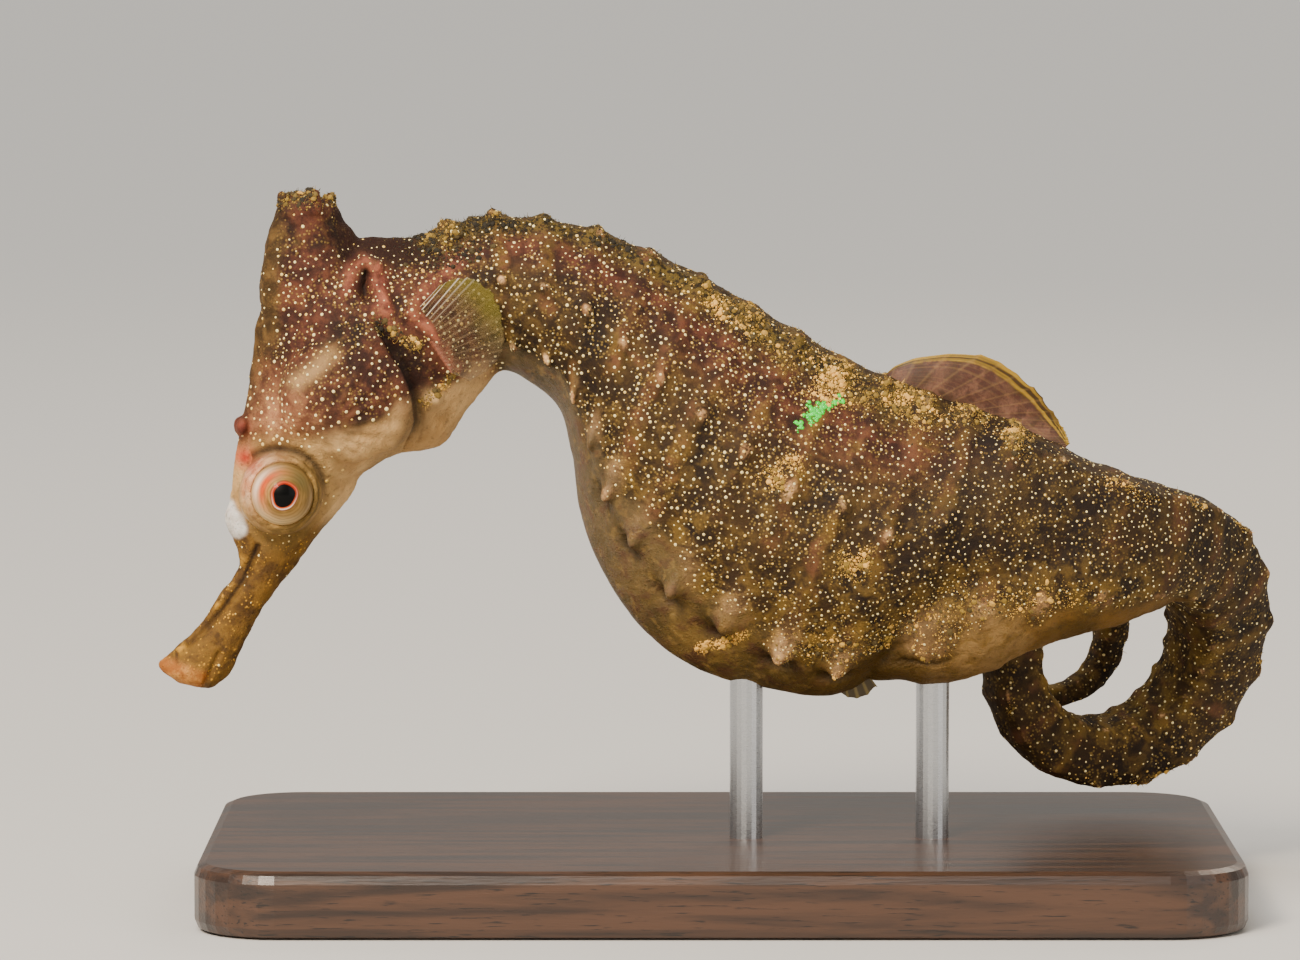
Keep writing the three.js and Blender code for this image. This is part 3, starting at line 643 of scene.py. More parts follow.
NOSE_LINE = [(-29.7, 24.1), (-29.3, 23.5), (-29.1, 23.0)]
CHEEK_TOP = [
    (-27.0, 27.4), (-24.5, 28.2), (-21.2, 29.0), (-20.0, 29.8), (-18.7, 30.6), (-15.5, 31.8), (-14.0, 32.0),
]
GILL_CRUST = [(-20.8, 35.3), (-20.2, 34.9), (-19.3, 34.3), (-18.4, 33.9)]
THROAT_CRUST = [(-17.9, 30.6), (-17.4, 31.1), (-16.8, 31.6), (-16.3, 32.3)]
GILL_HUB = (-24.2, 29.0)
BROW_SPINE = (-28.8, 29.1)
BROW_RED = (-28.6, 27.2)
FOREHEAD = (-26.9, 29.2)
THROAT_KNOB = (-17.5, 30.7)

# Folds and grooves beside the head: line, height in mm (less than 0 in a groove) and width.
FOLDS = [
    (GILL_MEMBRANE, -0.16, 0.16), (MEMBRANE_FRONT, 0.12, 0.3), (HOLE_RIM, 0.22, 0.4), (LOBE, 0.2, 0.34),
    (BREATHING_HOLE, -0.6, 0.3), (SHOULDER, 0.4, 0.5), (SHOULDER_UPPER, 0.2, 0.6), (SNOUT_GROOVE, -0.28, 0.2),
    (SNOUT_RIDGE, 0.12, 0.25), (JAW_LINE, -0.2, 0.16),
]
# Soft swellings there: place, height in mm and radius.
SWELLINGS = [
    ((-25.2, 32.2), 0.12, 0.7), ((-24.2, 33.1), 0.18, 0.7), (THROAT_KNOB, 0.5, 0.5),
    ((-24.6, 35.4), 0.25, 1.2), ((-16.6, 28.5), 0.3, 0.8),
]


class Skin:
    """The skin's mesh and what is known at each vertex. Bare numbers beside t are stations, 0 at the lips."""

    def __init__(self):
        head = [ball(*NOSE_BUMP), *crown()]
        for _, sign in SIDES:
            head += head_side(sign)
        verts, self.quads = fused([trunk_and_tail(), pouch(), *map(in_head, head)])
        self.verts = relaxed(verts, self.quads, 4)
        self.t, self.degrees = body_places(self.verts)
        self.side = np.abs(self.degrees)
        self.locate()
        self.carve()
        self.locate()
        self.normals = normals_of(self.verts, self.quads)

    def locate(self):
        """Places with the head unturned, and distances from the eyes."""
        crown_share = smooth(self.verts[:, 2], 38.5, 40) * (self.verts[:, 0] < -19)
        turn = np.maximum(head_turn(self.t), HEAD_YAW * crown_share)
        self.flat = turned(self.verts, -turn)
        self.outward = np.abs(self.flat[:, 1])
        beside = np.where(self.t < 5, smooth(self.outward, 0.1, 0.5), smooth(self.outward, 0.6, 1.6))
        self.beside = beside * (self.t < HEAD_END)
        self.profile = self.flat[:, [0, 2]]
        eye_x, eye_z = self.flat[:, 0] - EYE["x"], self.flat[:, 2] - EYE["z"]
        self.eye_radius = np.hypot(eye_x, eye_z)
        self.eye_angle = np.arctan2(eye_z, eye_x)
        self.around_eye = (self.outward > 1.2) & (self.t < 9)

    def near(self, line, width):
        """A soft band along a line on both sides of the head."""
        return bell(line_distance(self.profile, line)[0], width) * self.beside

    def close_to(self, place, radius):
        """A soft round spot on both sides of the head."""
        return bell(np.linalg.norm(self.profile - np.array(place), axis=1), radius) * (self.t < HEAD_END)

    def beside_eye(self, share):
        return np.where(self.around_eye, share, 0)

    def eye_folds(self):
        """Wavy rings of wrinkles round the eye, from -1 to 1."""
        return np.sin(2 * np.pi * (self.eye_radius / 0.27 + 0.35 * np.sin(self.eye_angle * 2 + 1)))

    def gill_edge(self):
        """The gill cover's rear edge stands over the groove behind it."""
        side, along = line_side(self.profile, GILL_REAR)
        inside = 0.42 * np.exp(np.minimum(side, 0) / 1.3) * smooth(-side, -0.16, 0.16)
        behind = 0.75 * np.exp(-np.maximum(side, 0) / 0.8) * smooth(side, -0.16, 0.16)
        return (inside - behind) * between(along, 0, 0.2, 0.8, 1.0) * self.beside

    def head_relief(self):
        """How far the head's folds, wrinkles and the spokes of its gill covers lift the skin, in mm."""
        lift = self.gill_edge()
        for line, height, width in FOLDS:
            lift += height * self.near(line, width)
        for place, height, radius in SWELLINGS:
            lift += height * self.close_to(place, radius) * self.beside
        folds = self.eye_folds() * between(self.eye_radius, 1.8, 2.0, 2.4, 2.9)
        socket = bell(self.eye_radius - 2.55, 0.28) * smooth(np.sin(self.eye_angle - 0.1), -0.4, 0.5)
        lift += self.beside_eye(0.03 * folds - 0.2 * socket)
        hub = self.profile - np.array(GILL_HUB)
        spokes = np.cos(np.arctan2(hub[:, 1], hub[:, 0]) * 24) * smooth(np.linalg.norm(hub, axis=1), 0.8, 2.2)
        return lift + 0.05 * spokes * self.close_to((GILL["x"], GILL["z"] - 1), 3.4) * self.beside

    def carve(self):
        """Moves the skin along its normals: folds, grooves, wrinkles and the grain of the plates."""
        lift = self.head_relief() - 0.4 * self.under_knobs()
        lift += 0.5 * self.nape() * smooth(noise(self.verts, 0.9, 17), -0.3, 0.5)
        front = bell(self.degrees, 45) * between(self.t, 6.6, 7.4, 11.0, 12.0)
        belly = self.belly()
        rough = 1 - 0.8 * belly
        # Uneven skin: height and size in mm, the noise's seed and where it is.
        for height, size, seed, share in (
            (0.22, 2.2, 19, front), (0.12, 2.6, 13, belly), (0.09, 1.6, 3, rough), (0.05, 0.5, 7, rough),
        ):
            lift += height * cloud(self.verts, size, seed) * share
        self.verts = self.verts + normals_of(self.verts, self.quads) * lift[:, None]

    def nape(self):
        """The lumpy cap of sediment on the nape."""
        return bell(np.hypot(self.verts[:, 0] + 16.2, self.verts[:, 2] - 40.9), 1.7) * (self.side < 60)

    def under_knobs(self):
        """Hollows below the knobs of the lowest ridge."""
        hollow = bell(self.side - lower_ridge(self.t) - 9, 4.0) * crests(ring_of(self.t))
        return hollow * between(self.t, 16.0, 17.5, 22.3, 22.9)

    def belly(self):
        """The smooth keel below the lowest ridge, from throat to vent."""
        edge = lower_ridge(self.t) + 3 + 9 * noise(self.verts, 2.2, 11) + 4 * noise(self.verts, 0.8, 12)
        edge = edge - 7 * bell(self.t - 18.5, 1.8)
        return smooth(self.side, edge - 5, edge + 8) * between(self.t, 12.6, 13.8, 22.5, 23.2)

    def pouch(self):
        """How much of the skin is the brood pouch."""
        wobble = 8 * cloud(self.verts, 1.6, 15)
        low = smooth(self.side, 134 + wobble, 152 + wobble)
        return low * between(self.t, 22.2, 23.0, ROOT + 10.0, ROOT + 11.5)

    def masks(self):
        """Named shares from 0 to 1 that the materials mix their colours by."""
        self.wobble, self.fine = cloud(self.verts, 2.2, 21), cloud(self.verts, 0.8, 27)
        found = {**self.head_masks(), **self.line_masks(), **self.eye_masks(), **self.trunk_masks()}
        return {name: np.clip(share, 0, 1) for name, share in found.items()}

    def head_masks(self):
        t, side = self.t, self.side
        x, z = self.profile.T
        head = 1 - smooth(t, 12.2, 13.4)
        upper = smooth(t, 4.6, 5.6)
        cheek = smooth(np.interp(x, *zip(*CHEEK_TOP)) - z + 0.8 * self.wobble + 0.3 * self.fine, -1.0, 0.5)
        cheek = cheek * (1 - 0.5 * bell(line_side(self.profile, GILL_REAR)[0] + 0.3, 0.5))
        brow = 0.55 * self.near(BROW_FOLD, 0.5) + 0.6 * self.close_to(THROAT_KNOB, 0.7)
        above = bell(side - 46, 16) * between(t, 12.2, 13.5, 21, 24)
        crown_front = smooth(-(x + 26.5) + 0.4 * self.wobble, -0.5, 0.6) * smooth(z, 32, 36) * (t < 13)
        front = bell(side, 24) * between(t, 5.8, 7.0, 9.0, 10.0) * smooth(-x, 26.0, 27.0)
        crown_back = smooth(x + 23.4, -0.3, 1.0) * smooth(z, 38.0, 39.4) * (t < 12.6)
        middle_head = smooth(z, 28.0, 30.5) * head * (1 - crown_front) * (1 - crown_back)
        lips = (1 - smooth(t, 0.35, 1.0)) * smooth(line_side(self.profile, JAW_LINE)[0], 0.1, -0.25)
        nose = smooth(line_distance(self.profile, NOSE_LINE)[0] + 0.12 * self.fine, 0.8, 0.42) * (t < 9)
        return dict(
            pale=cheek * head * upper + brow, maroon=0.85 * above + 0.8 * middle_head,
            olive=crown_front + front, crown_back=crown_back, snout=1 - upper, lips=lips, nose=nose,
            ridge_gold=self.near(SNOUT_RIDGE, 0.28), spine=self.close_to(BROW_SPINE, 0.7),
            red=self.close_to(BROW_RED, 0.66), blush=self.close_to(FOREHEAD, 2.2),
        )

    def line_masks(self):
        """Painted shade in the breathing hole, the grooves, behind the gill cover, under the knobs and in the
        upper eye socket; and the pink folds.
        """
        z = self.profile[:, 1]
        # Painted shadow behind the gill cover's rear edge, where the skin drops away from it.
        shade_behind_gill = bell(line_side(self.profile, GILL_REAR)[0] - 0.35, 0.6)
        folds = np.clip(-2.2 * self.gill_edge(), 0, 1) * smooth(z, 27.4, 29.5)
        folds = np.maximum(folds, 0.9 * shade_behind_gill * between(z, 27.6, 30, 33.8, 35.2)) * self.beside
        hole, groove = self.near(BREATHING_HOLE, 0.24), self.near(SNOUT_GROOVE, 0.15)
        # Painted shade in the upper part of the eye socket, under the brow.
        socket = self.beside_eye(bell(self.eye_radius - 2.6, 0.26))
        socket = socket * smooth(np.sin(self.eye_angle + 0.3), -0.2, 0.7)
        # Shade painted near black into the hole and grooves, behind the gill cover, under the knobs and in
        # the eye socket.
        painted_shade = [
            np.clip(0.95 * hole + 0.8 * groove, 0, 1), 0.5 * self.near(GILL_MEMBRANE, 0.13), 0.85 * folds,
            0.75 * self.under_knobs(), 0.8 * socket,
        ]
        pink = [(HOLE_RIM, 0.65, 0.42), (SHOULDER, 0.8, 0.42), (SHOULDER_UPPER, 0.4, 0.6), (LOBE, 1, 0.3)]
        return dict(
            painted_shade=np.max(painted_shade, axis=0),
            pink=np.max([strength * self.near(line, width) for line, strength, width in pink], axis=0),
        )

    def eye_masks(self):
        rim = 1 - smooth(self.eye_radius + 0.12 * self.fine, 2.25, 2.6)
        return dict(
            eye_rim=self.beside_eye(rim) * smooth(self.outward, 1.5, 2.5),
            eye_ring=smooth(self.eye_folds(), -0.2, 0.9),
            # Salmon skin with a painted highlight on the turret's upper front side, towards the key light.
            eye_salmon_and_highlight=self.beside_eye(arc(self.eye_angle, 2.6, 0.9)),
            orbit=self.beside_eye(bell(self.eye_radius - 2.9, 0.8)),
        )

    def trunk_masks(self):
        t, side = self.t, self.side
        ridge_top = np.clip(bell(side - 27, 11) + 0.15 * bell(side, 16), 0, 1)
        rings = crests(ring_of(t) + 0.16 * noise(self.verts, 3.0, 51))
        lines = np.maximum(0.8 * bell(side - lateral_ridge(t), 5), 0.7 * bell(side - 48, 5)) * (t < TRUNK_END)
        network = np.maximum(rings, lines) * (0.35 + 0.65 * smooth(cloud(self.verts, 3.0, 53), -0.5, 0.5))
        glow = bell(side - lower_ridge(t) + 3, 9) * crests(ring_of(t)) ** 2
        return dict(
            knob=ridge_marks(t, self.degrees)[0], belly=self.belly(), pouch=self.pouch(),
            band=smooth(network + 0.35 * self.fine, 0.42, 0.95) * smooth(t, NECK, NECK + 0.8),
            glow=glow * between(t, 15, 17, 22.6, 24), back=ridge_top * between(t, 11.8, 12.8, 21.2, 23.0),
            low=smooth(side, 88, 128) * smooth(t, 15.5, 18.5), rear=smooth(t, 20.5, 23),
            vent=bell(t - 22.8, 2.2), throat=1 - smooth(t, 17.0, 20.5),
            # Painted shade over the rear of the trunk and the tail, weaker towards the tail's end.
            painted_shade_rear=smooth(t, 20.8, 23.0) * (1 - 0.6 * smooth(t, ROOT + 14, ROOT + 26)),
        )


# ---------------------------------------------------------------- materials

def colour(code):
    """A linear colour from an sRGB hex code."""
    parts = [int(code[i : i + 2], 16) / 255 for i in (1, 3, 5)]
    return (*[p / 12.92 if p <= 0.04045 else ((p + 0.055) / 1.055) ** 2.4 for p in parts], 1.0)


class Shader:
    """A node material, built by small named steps. Places are in mm.

    A value is a number, a node's output, a colour such as "#20140a" or the name of a share of the piece.
    """

    def __init__(self, name, **settings):
        self.material = bpy.data.materials.new(name)
        self.material.use_nodes = True
        self.tree = self.material.node_tree
        for socket, value in settings.items():
            self.set(socket.replace("_", " "), value)
        place = self.node("TexCoord", {}, "Object")
        self.place = self.node("VectorMath", {"Vector": place, "Scale": 1 / MM}, operation="SCALE")

    def set(self, socket, value):
        """Sets or links one of the surface's own sockets."""
        self.feed(self.tree.nodes["Principled BSDF"].inputs[socket], value)

    def feed(self, socket, value):
        if isinstance(value, str):
            value = colour(value) if value.startswith("#") else self.share(value)
        if isinstance(value, bpy.types.NodeSocket):
            self.tree.links.new(value, socket)
        else:
            socket.default_value = value

    def node(self, kind, inputs, output=0, **settings):
        made = self.tree.nodes.new("ShaderNode" + kind)
        for key, value in settings.items():
            setattr(made, key, value)
        for socket, value in inputs.items():
            self.feed(made.inputs[socket], value)
        return made.outputs[output]

    def share(self, name):
        return self.node("Attribute", {}, "Fac", attribute_name=name)

    def noise(self, size, detail, roughness=0.55, warp=0.0, place=None):
        inputs = {"Scale": 1 / size, "Detail": detail, "Roughness": roughness, "Distortion": warp}
        return self.node("TexNoise", {"Vector": place or self.place, **inputs})

    def stretched(self, *stretch):
        """Places stretched along x, y and z, for a grain."""
        return self.node("VectorMath", {0: self.place, 1: stretch}, operation="MULTIPLY")

    def specks(self, size):
        """Distance to the nearest of many scattered points, in units of their spacing."""
        return self.node("TexVoronoi", {"Vector": self.place, "Scale": 1 / size}, "Distance")

    def math(self, operation, *values):
        return self.node("Math", dict(enumerate(values)), operation=operation)

    def times(self, a, b):
        return self.math("MULTIPLY", a, b)

    def band(self, value, low, high):
        """0 below low and 1 above high, with a smooth step between. It falls where low is above high."""
        start, end = sorted((low, high))
        falls = low > high
        inputs = {"From Min": start, "From Max": end, "To Min": float(falls), "To Max": float(not falls)}
        return self.node("MapRange", {"Value": value, **inputs}, interpolation_type="SMOOTHSTEP")

    def mix(self, share, a, b):
        factor, first, second = 0, 6, 7  # the Mix node's sockets for colours
        return self.node("Mix", {factor: share, first: a, second: b}, 2, data_type="RGBA")

    def paint(self, under, *layers):
        """Colour layers over a first one. Each has a share, a strength and its colour, or a mix of two."""
        for share, strength, *tint in layers:
            over = self.mix(*tint) if len(tint) > 1 else tint[0]
            under = self.mix(share if strength == 1 else self.times(share, strength), under, over)
        return under

    def roughen(self, value, low, high):
        self.set("Roughness", self.node("MapRange", {"Value": value, "To Min": low, "To Max": high}))

    def bump(self, height, depth, **under):
        """Bump of this depth in mm, over another where Normal is given."""
        made = self.node("Bump", {"Height": height, "Distance": depth * MM, **under})
        self.set("Normal", made)
        return made


def flank_paint(s, broad, middle, half, stipple):
    """Dark brown with maroon, tan ring bands, golden dust and pale knobs."""
    ragged = s.times("band", s.band(s.noise(1.6, 4, 0.65, 0.5), 0.3, 0.6))
    knob = s.times("knob", s.band(s.noise(0.45, 4, 0.7, 0.6), 0.3, 0.6))
    return s.paint(
        s.mix(s.band(broad, 0.36, 0.66), "#20140a", "#3d2a12"),
        (s.band(middle, 0.46, 0.7), 0.6, "#6a5124"),
        (s.times("maroon", s.band(broad, 0.26, 0.54)), 1, half, "#361711", "#663526"),
        (ragged, 0.55, s.band(broad, 0.42, 0.6), "#856426", "#7f5034"),
        (s.times("low", s.band(middle, 0.4, 0.62)), 0.7, s.band(broad, 0.4, 0.62), "#8f6e2c", "#7a5e24"),
        (stipple, 0.38, "#b8964a"),
        ("glow", 0.7, half, "#94704a", "#cda377"),
        (s.band(knob, 0.08, 0.75), 1, half, "#a5764c", "#e6b780"),
    )


def snout_paint(s, middle, half):
    flecks = s.times(s.band(s.specks(0.22), 0.4, 0.16), s.band(s.noise(1.0, 3), 0.48, 0.6))
    gold = s.math("MAXIMUM", flecks, s.times("ridge_gold", half))
    return s.paint(s.mix(s.band(middle, 0.34, 0.62), "#513715", "#7a571f"), (gold, 1, "#cd9631"))


def keel_paint(s, broad, middle, half):
    """Olive-brown below the ridges, grey at the throat."""
    return s.paint(
        s.mix(s.band(broad, 0.35, 0.65), "#4c3c1b", "#7b602e"),
        ("throat", 0.75, half, "#51452f", "#75654a"),
        (s.band(middle, 0.46, 0.66), 0.7, "#553525"),
        (s.band(s.noise(0.6, 3), 0.52, 0.7), 0.4, "#9b7c43"),
        ("rear", 1, middle, "#47340a", "#6a4e18"),
    )


def pouch_paint(s, broad, middle, half):
    return s.paint(
        s.mix(s.band(broad, 0.35, 0.66), "#64480f", "#916826"),
        ("vent", 0.9, half, "#a07a3c", "#cba164"),
        (s.band(middle, 0.5, 0.72), 0.5, "#8f692f"),
    )


def rim_paint(s, half):
    """The ringed skin of the eye turrets, salmon with a painted highlight on their upper front side."""
    return s.paint(
        s.mix(half, "#7b6030", "#b18a4c"),
        ("eye_ring", 0.5, "#5a4418"),
        ("eye_salmon_and_highlight", 0.8, half, "#d98d64", "#f2c3a0"),
    )


def skin_material():
    s = Shader("skin", Specular_IOR_Level=0.25, Subsurface_Weight=0.05, Subsurface_Scale=0.0006)
    broad, middle, fine = s.noise(3.4, 4, 0.6, 0.3), s.noise(1.1, 4, 0.62, 0.4), s.noise(0.28, 3, 0.65)
    half = s.band(middle, 0.36, 0.66)
    stipple = s.times(s.band(s.specks(0.22), 0.44, 0.22), s.band(s.noise(1.3, 3), 0.42, 0.6))
    s.set("Base Color", s.paint(
        flank_paint(s, broad, middle, half, stipple),
        ("blush", 0.8, half, "#8d563a", "#c38a60"),
        ("olive", 0.85, half, "#412d12", "#725428"),
        ("crown_back", 0.9, "#260d05"),
        ("pale", 1, s.band(broad, 0.3, 0.7), "#ac8450", "#ddb47a"),
        ("snout", 1, snout_paint(s, middle, half)),
        ("lips", 0.85, half, "#a66225", "#ce8f47"),
        ("belly", 1, keel_paint(s, broad, middle, half)),
        ("pouch", 1, pouch_paint(s, broad, middle, half)),
        # Painted shade over the rear of the trunk and the tail.
        ("painted_shade_rear", 0.4, "#160b04"),
        (s.times("back", s.band(middle, 0.34, 0.5)), 1, s.band(fine, 0.42, 0.58), "#241b0a", "#66521f"),
        ("orbit", 0.62, s.band(broad, 0.35, 0.65), "#6d5426", "#a07c42"),
        ("eye_rim", 1, rim_paint(s, half)),
        ("pink", 1, half, "#6a3527", "#ad664c"),
        ("spine", 1, half, "#4a1a13", "#7c3a2a"),
        ("red", 1, half, "#a4301a", "#cf5a38"),
        ("nose", 0.92, half, "#c4bcb2", "#e6e2dc"),
        # Painted shade: near black in the hole, grooves and creases, under the knobs and in the eye socket.
        ("painted_shade", 1, "#170c06"),
        (s.band(fine, 0.54, 0.72), 0.35, "#0f0a06"),
    ))
    s.roughen("belly", 0.76, 0.48)
    grain = s.math("ADD", fine, s.times(s.noise(0.09, 2), 0.6))
    s.bump(s.math("ADD", grain, s.times(stipple, 0.5)), 0.05, Normal=s.bump(middle, 0.1))
    return s.material


# ---------------------------------------------------------------- making the skin

FLESH = [
    "snout", "head", "coronet", "neck", "trunk_front", "trunk_middle", "trunk_rear", "tail_1", "tail_2",
    "tail_3", "tail_4", "tail_5", "tail_6", "pouch", "gill_cover_left", "gill_cover_right",
]

skin = Skin()
skin_masks = skin.masks()
piece("skin", (skin.verts, skin.quads.tolist()), skin_material(), "skin", FLESH, **skin_masks)


# ---------------------------------------------------------------- scattering over the skin

NEIGHBOURS = list(itertools.product((-1, 0, 1), repeat=3))


def read(places, values):
    """The values at the skin's vertices, read at places: triangles and shares of their corners."""
    corners, mix = places
    picked = values[corners]
    return (picked * (mix[..., None] if picked.ndim == 3 else mix)).sum(1)


def frames_at(places):
    """Where places are, the skin's normals there, their sections and their angles."""
    at, normals, t, degrees = (read(places, v) for v in (skin.verts, skin.normals, skin.t, skin.degrees))
    return at, unit(normals), t, degrees


class Scatter:
    """Random places on the skin, the same each run."""

    def __init__(self, seed):
        self.random = np.random.default_rng(seed)
        self.triangles = np.vstack([skin.quads[:, [0, 1, 2]], skin.quads[:, [0, 2, 3]]])
        a, b, c = (skin.verts[self.triangles[:, k]] for k in range(3))
        self.area = np.linalg.norm(np.cross(b - a, c - a), axis=1) / 2

    def places(self, count, weight):
        """count places, drawn by area and by a weight at each vertex."""
        share = self.area * weight[self.triangles].mean(1)
        total = np.cumsum(share)
        chosen = np.searchsorted(total, self.random.random(count) * total[-1])
        corner = self.random.random((count, 2))
        over = corner.sum(1) > 1
        corner[over] = 1 - corner[over]
        mix = np.stack([1 - corner.sum(1), corner[:, 0], corner[:, 1]], axis=1)
        return self.triangles[chosen], mix

    def spaced(self, places, spacing, chance=0.0):
        """The places that keep their own spacing, varied by chance, from each one already kept."""
        at = read(places, skin.verts)
        gap = read(places, spacing) * (1 + chance * (self.random.random(len(at)) * 2 - 1))
        size = float(gap.max())
        grid = {}
        kept = []
        for i, (p, r) in enumerate(zip(at.tolist(), gap.tolist())):
            x, y, z = (int(v // size) for v in p)
            around = (q for dx, dy, dz in NEIGHBOURS for q in grid.get((x + dx, y + dy, z + dz), ()))
            if all((p[0] - q[0]) ** 2 + (p[1] - q[1]) ** 2 + (p[2] - q[2]) ** 2 >= r * r for q in around):
                grid.setdefault((x, y, z), []).append(p)
                kept.append(i)
        return places[0][kept], places[1][kept]


def copies(template, at, normals, sizes, spins):
    """One closed template, z up, set at many places: all vertices and faces."""
    points, faces = template
    across = unit(np.cross(normals, np.where(np.abs(normals[:, 2:3]) > 0.9, [[1.0, 0, 0]], [[0, 0, 1.0]])))
    over = np.cross(normals, across)
    c, s = np.cos(spins)[:, None], np.sin(spins)[:, None]
    u, v = across * c + over * s, over * c - across * s
    local = points[None] * sizes[:, None, :]
    spread = at[:, None] + local[..., :1] * u[:, None] + local[..., 1:2] * v[:, None]
    spread = spread + local[..., 2:] * normals[:, None]
    start = np.arange(len(at))[:, None, None] * len(points)
    all_faces = (np.asarray(faces)[None] + start).reshape(-1, len(faces[0]))
    return spread.reshape(-1, 3), all_faces.tolist()


def lay_uv(thing, t, degrees, local):
    """The bake map: each copy is a small patch at its root's place on an unwrap of the body."""
    body_share, tail_share, patch = 0.55, 0.42, 0.003
    u = np.where(t <= ROOT, t / ROOT * body_share, body_share + (t - ROOT) / TAIL_LENGTH * tail_share)
    v = 0.02 + 0.96 * (degrees + 180) / 360
    centre = np.repeat(np.stack([u * 0.98 + 0.01, v], axis=1), len(local), axis=0)
    offset = np.tile(local[:, :2] / (np.abs(local[:, :2]).max() * 2) * patch, (len(t), 1))
    corners = numbers_of(thing.data.loops, "vertex_index", int)
    thing.data.uv_layers.new(name="OFBake").data.foreach_set("uv", (centre + offset)[corners].ravel())


def coat_piece(name, template, chosen, frames, sizes, spins, marks, material, flat_shaded=False):
    """The chosen copies of a template joined in one piece, with its bake map. marks names a value of each."""
    at, normals, t, degrees = (values[chosen] for values in frames)
    shape = copies(template, at, normals, sizes[chosen], spins[chosen])
    count = len(template[0])
    marks = {mark: np.repeat(values[chosen], count) for mark, values in marks.items()}
    made = piece(name, shape, material, "skin", flat_shaded=flat_shaded, **marks)
    lay_uv(made, t, degrees, template[0])


# ---------------------------------------------------------------- the white spots

def dome():
    """A low closed bead of unit radius, in triangles: two rings between a bottom and a top point."""
    sides = 9
    points = [[0, 0, -0.35]]
    for radius, height in ((1.0, -0.1), (0.72, 0.3)):
        points += [[radius * math.cos(a), radius * math.sin(a), height] for a in circle(sides)]
    points.append([0, 0, 0.45])
    faces = []
    for k in range(sides):
        low, high = 1 + k, 1 + sides + k
        low_next, high_next = 1 + (k + 1) % sides, 1 + sides + (k + 1) % sides
        faces += [[0, low_next, low], [low, low_next, high_next]]
        faces += [[low, high_next, high], [high, high_next, 2 * sides + 1]]
    return np.array(points, float), faces


SPOT_DRAWS = 62000
SPOT_RADIUS = dict(least=0.052, forehead=0.02, spread=0.066)  # mm
SPOT_PIECES = dict(spots_head=(0, NECK), spots_trunk=(NECK, 19), spots_rump=(19, ROOT), spots_tail=(ROOT, 99))


def spots_weight():
    """Where spots lie: thinner on smooth skin, on the crown's rim and along the back."""
    m, z = skin_masks, skin.flat[:, 2]
    front = skin.flat[:, 0] < -18.5
    cheek = m["pale"] * (z < 30.5) * front
    bare = np.clip(m["belly"] + m["pouch"] + cheek + 0.8 * m["pale"] + m["eye_rim"] + m["painted_shade"], 0, 1)
    bare = np.clip(bare + m["nose"] + m["lips"] + m["spine"] + m["red"], 0, 1)
    back = np.clip(bell(skin.side - 22, 13) + bell(skin.side, 20), 0, 1) * (skin.t > 12)
    weight = (1 - bare) * (1 - 0.85 * back) * (1 - 0.985 * m["snout"]) * (1 - 0.6 * m["knob"])
    weight = weight * (1 - 0.25 * m["band"]) * (1 - 0.85 * m["olive"])
    weight *= 1 - 0.97 * smooth(z, 38.6, 40.2) * (skin.flat[:, 0] < -19)
    weight *= 0.15 + 0.85 * smooth(cloud(skin.verts, 2.4, 61), -0.8, 0.0)
    weight[bare > 0.55] = 0
    behind_eye = skin.around_eye & (skin.eye_radius > 2.6) & (skin.eye_radius < 4.4)
    behind_eye &= np.abs(turn_from(skin.eye_angle, 0.4)) < 0.8
    return np.where(behind_eye, np.maximum(weight, 0.05), weight)


def spots_pieces():
    """Small raised beads, largest on the forehead and smallest on the snout."""
    scatter = Scatter(5)
    head = 1 - smooth(skin.t, 11.5, 13.5)
    forehead = head * (1 - smooth(skin.flat[:, 2], 30.5, 33.5))
    spacing = 0.435 + 0.015 * head + 0.1 * forehead + 0.08 * cloud(skin.verts, 2.4, 63)
    spacing += 0.2 * smooth(skin.t, ROOT + 2, ROOT + 25)
    drawn = scatter.spaced(scatter.places(SPOT_DRAWS, spots_weight()), spacing, 0.5)
    frames = frames_at(drawn)
    t = frames[2]
    size_chance, gilt = scatter.random.random((len(t), 2)).T
    radius = SPOT_RADIUS["least"] + SPOT_RADIUS["forehead"] * read(drawn, forehead)
    radius += SPOT_RADIUS["spread"] * size_chance**2.2
    radius *= 1 - 0.3 * read(drawn, skin_masks["snout"])
    radius *= 1 - 0.18 * smooth(t, 19.0, 21.5)
    sizes = np.stack([radius, radius, radius * 0.7], axis=1)
    bead, material = dome(), spots_material()
    for name, (start, end) in SPOT_PIECES.items():
        chosen = (t >= start) & (t < end)
        coat_piece(name, bead, chosen, frames, sizes, size_chance * 6, dict(gilt=gilt), material)


def spots_material():
    s = Shader("spots", Roughness=0.45)
    s.set("Base Color", s.mix(s.band("gilt", 0.35, 1.0), "#ffeba6", "#e6bb5a"))
    return s.material


spots_pieces()


# ---------------------------------------------------------------- crust: sediment grains and fine weed

def lump():
    """A rough closed grain of unit size with twenty faces."""
    golden = (1 + 5**0.5) / 2
    points = []
    for a, b in itertools.product((-1, 1), (-golden, golden)):
        points += [[0, a, b], [a, b, 0], [b, 0, a]]
    points = np.array(points, float) / math.hypot(1, golden)
    faces = []
    for i, j, k in itertools.combinations(range(12), 3):
        longest = max(math.dist(points[a], points[b]) for a, b in ((i, j), (j, k), (k, i)))
        if longest < 1.1:
            outward = np.cross(points[j] - points[i], points[k] - points[i]) @ points[i] > 0
            faces.append([i, j, k] if outward else [i, k, j])
    return points, faces


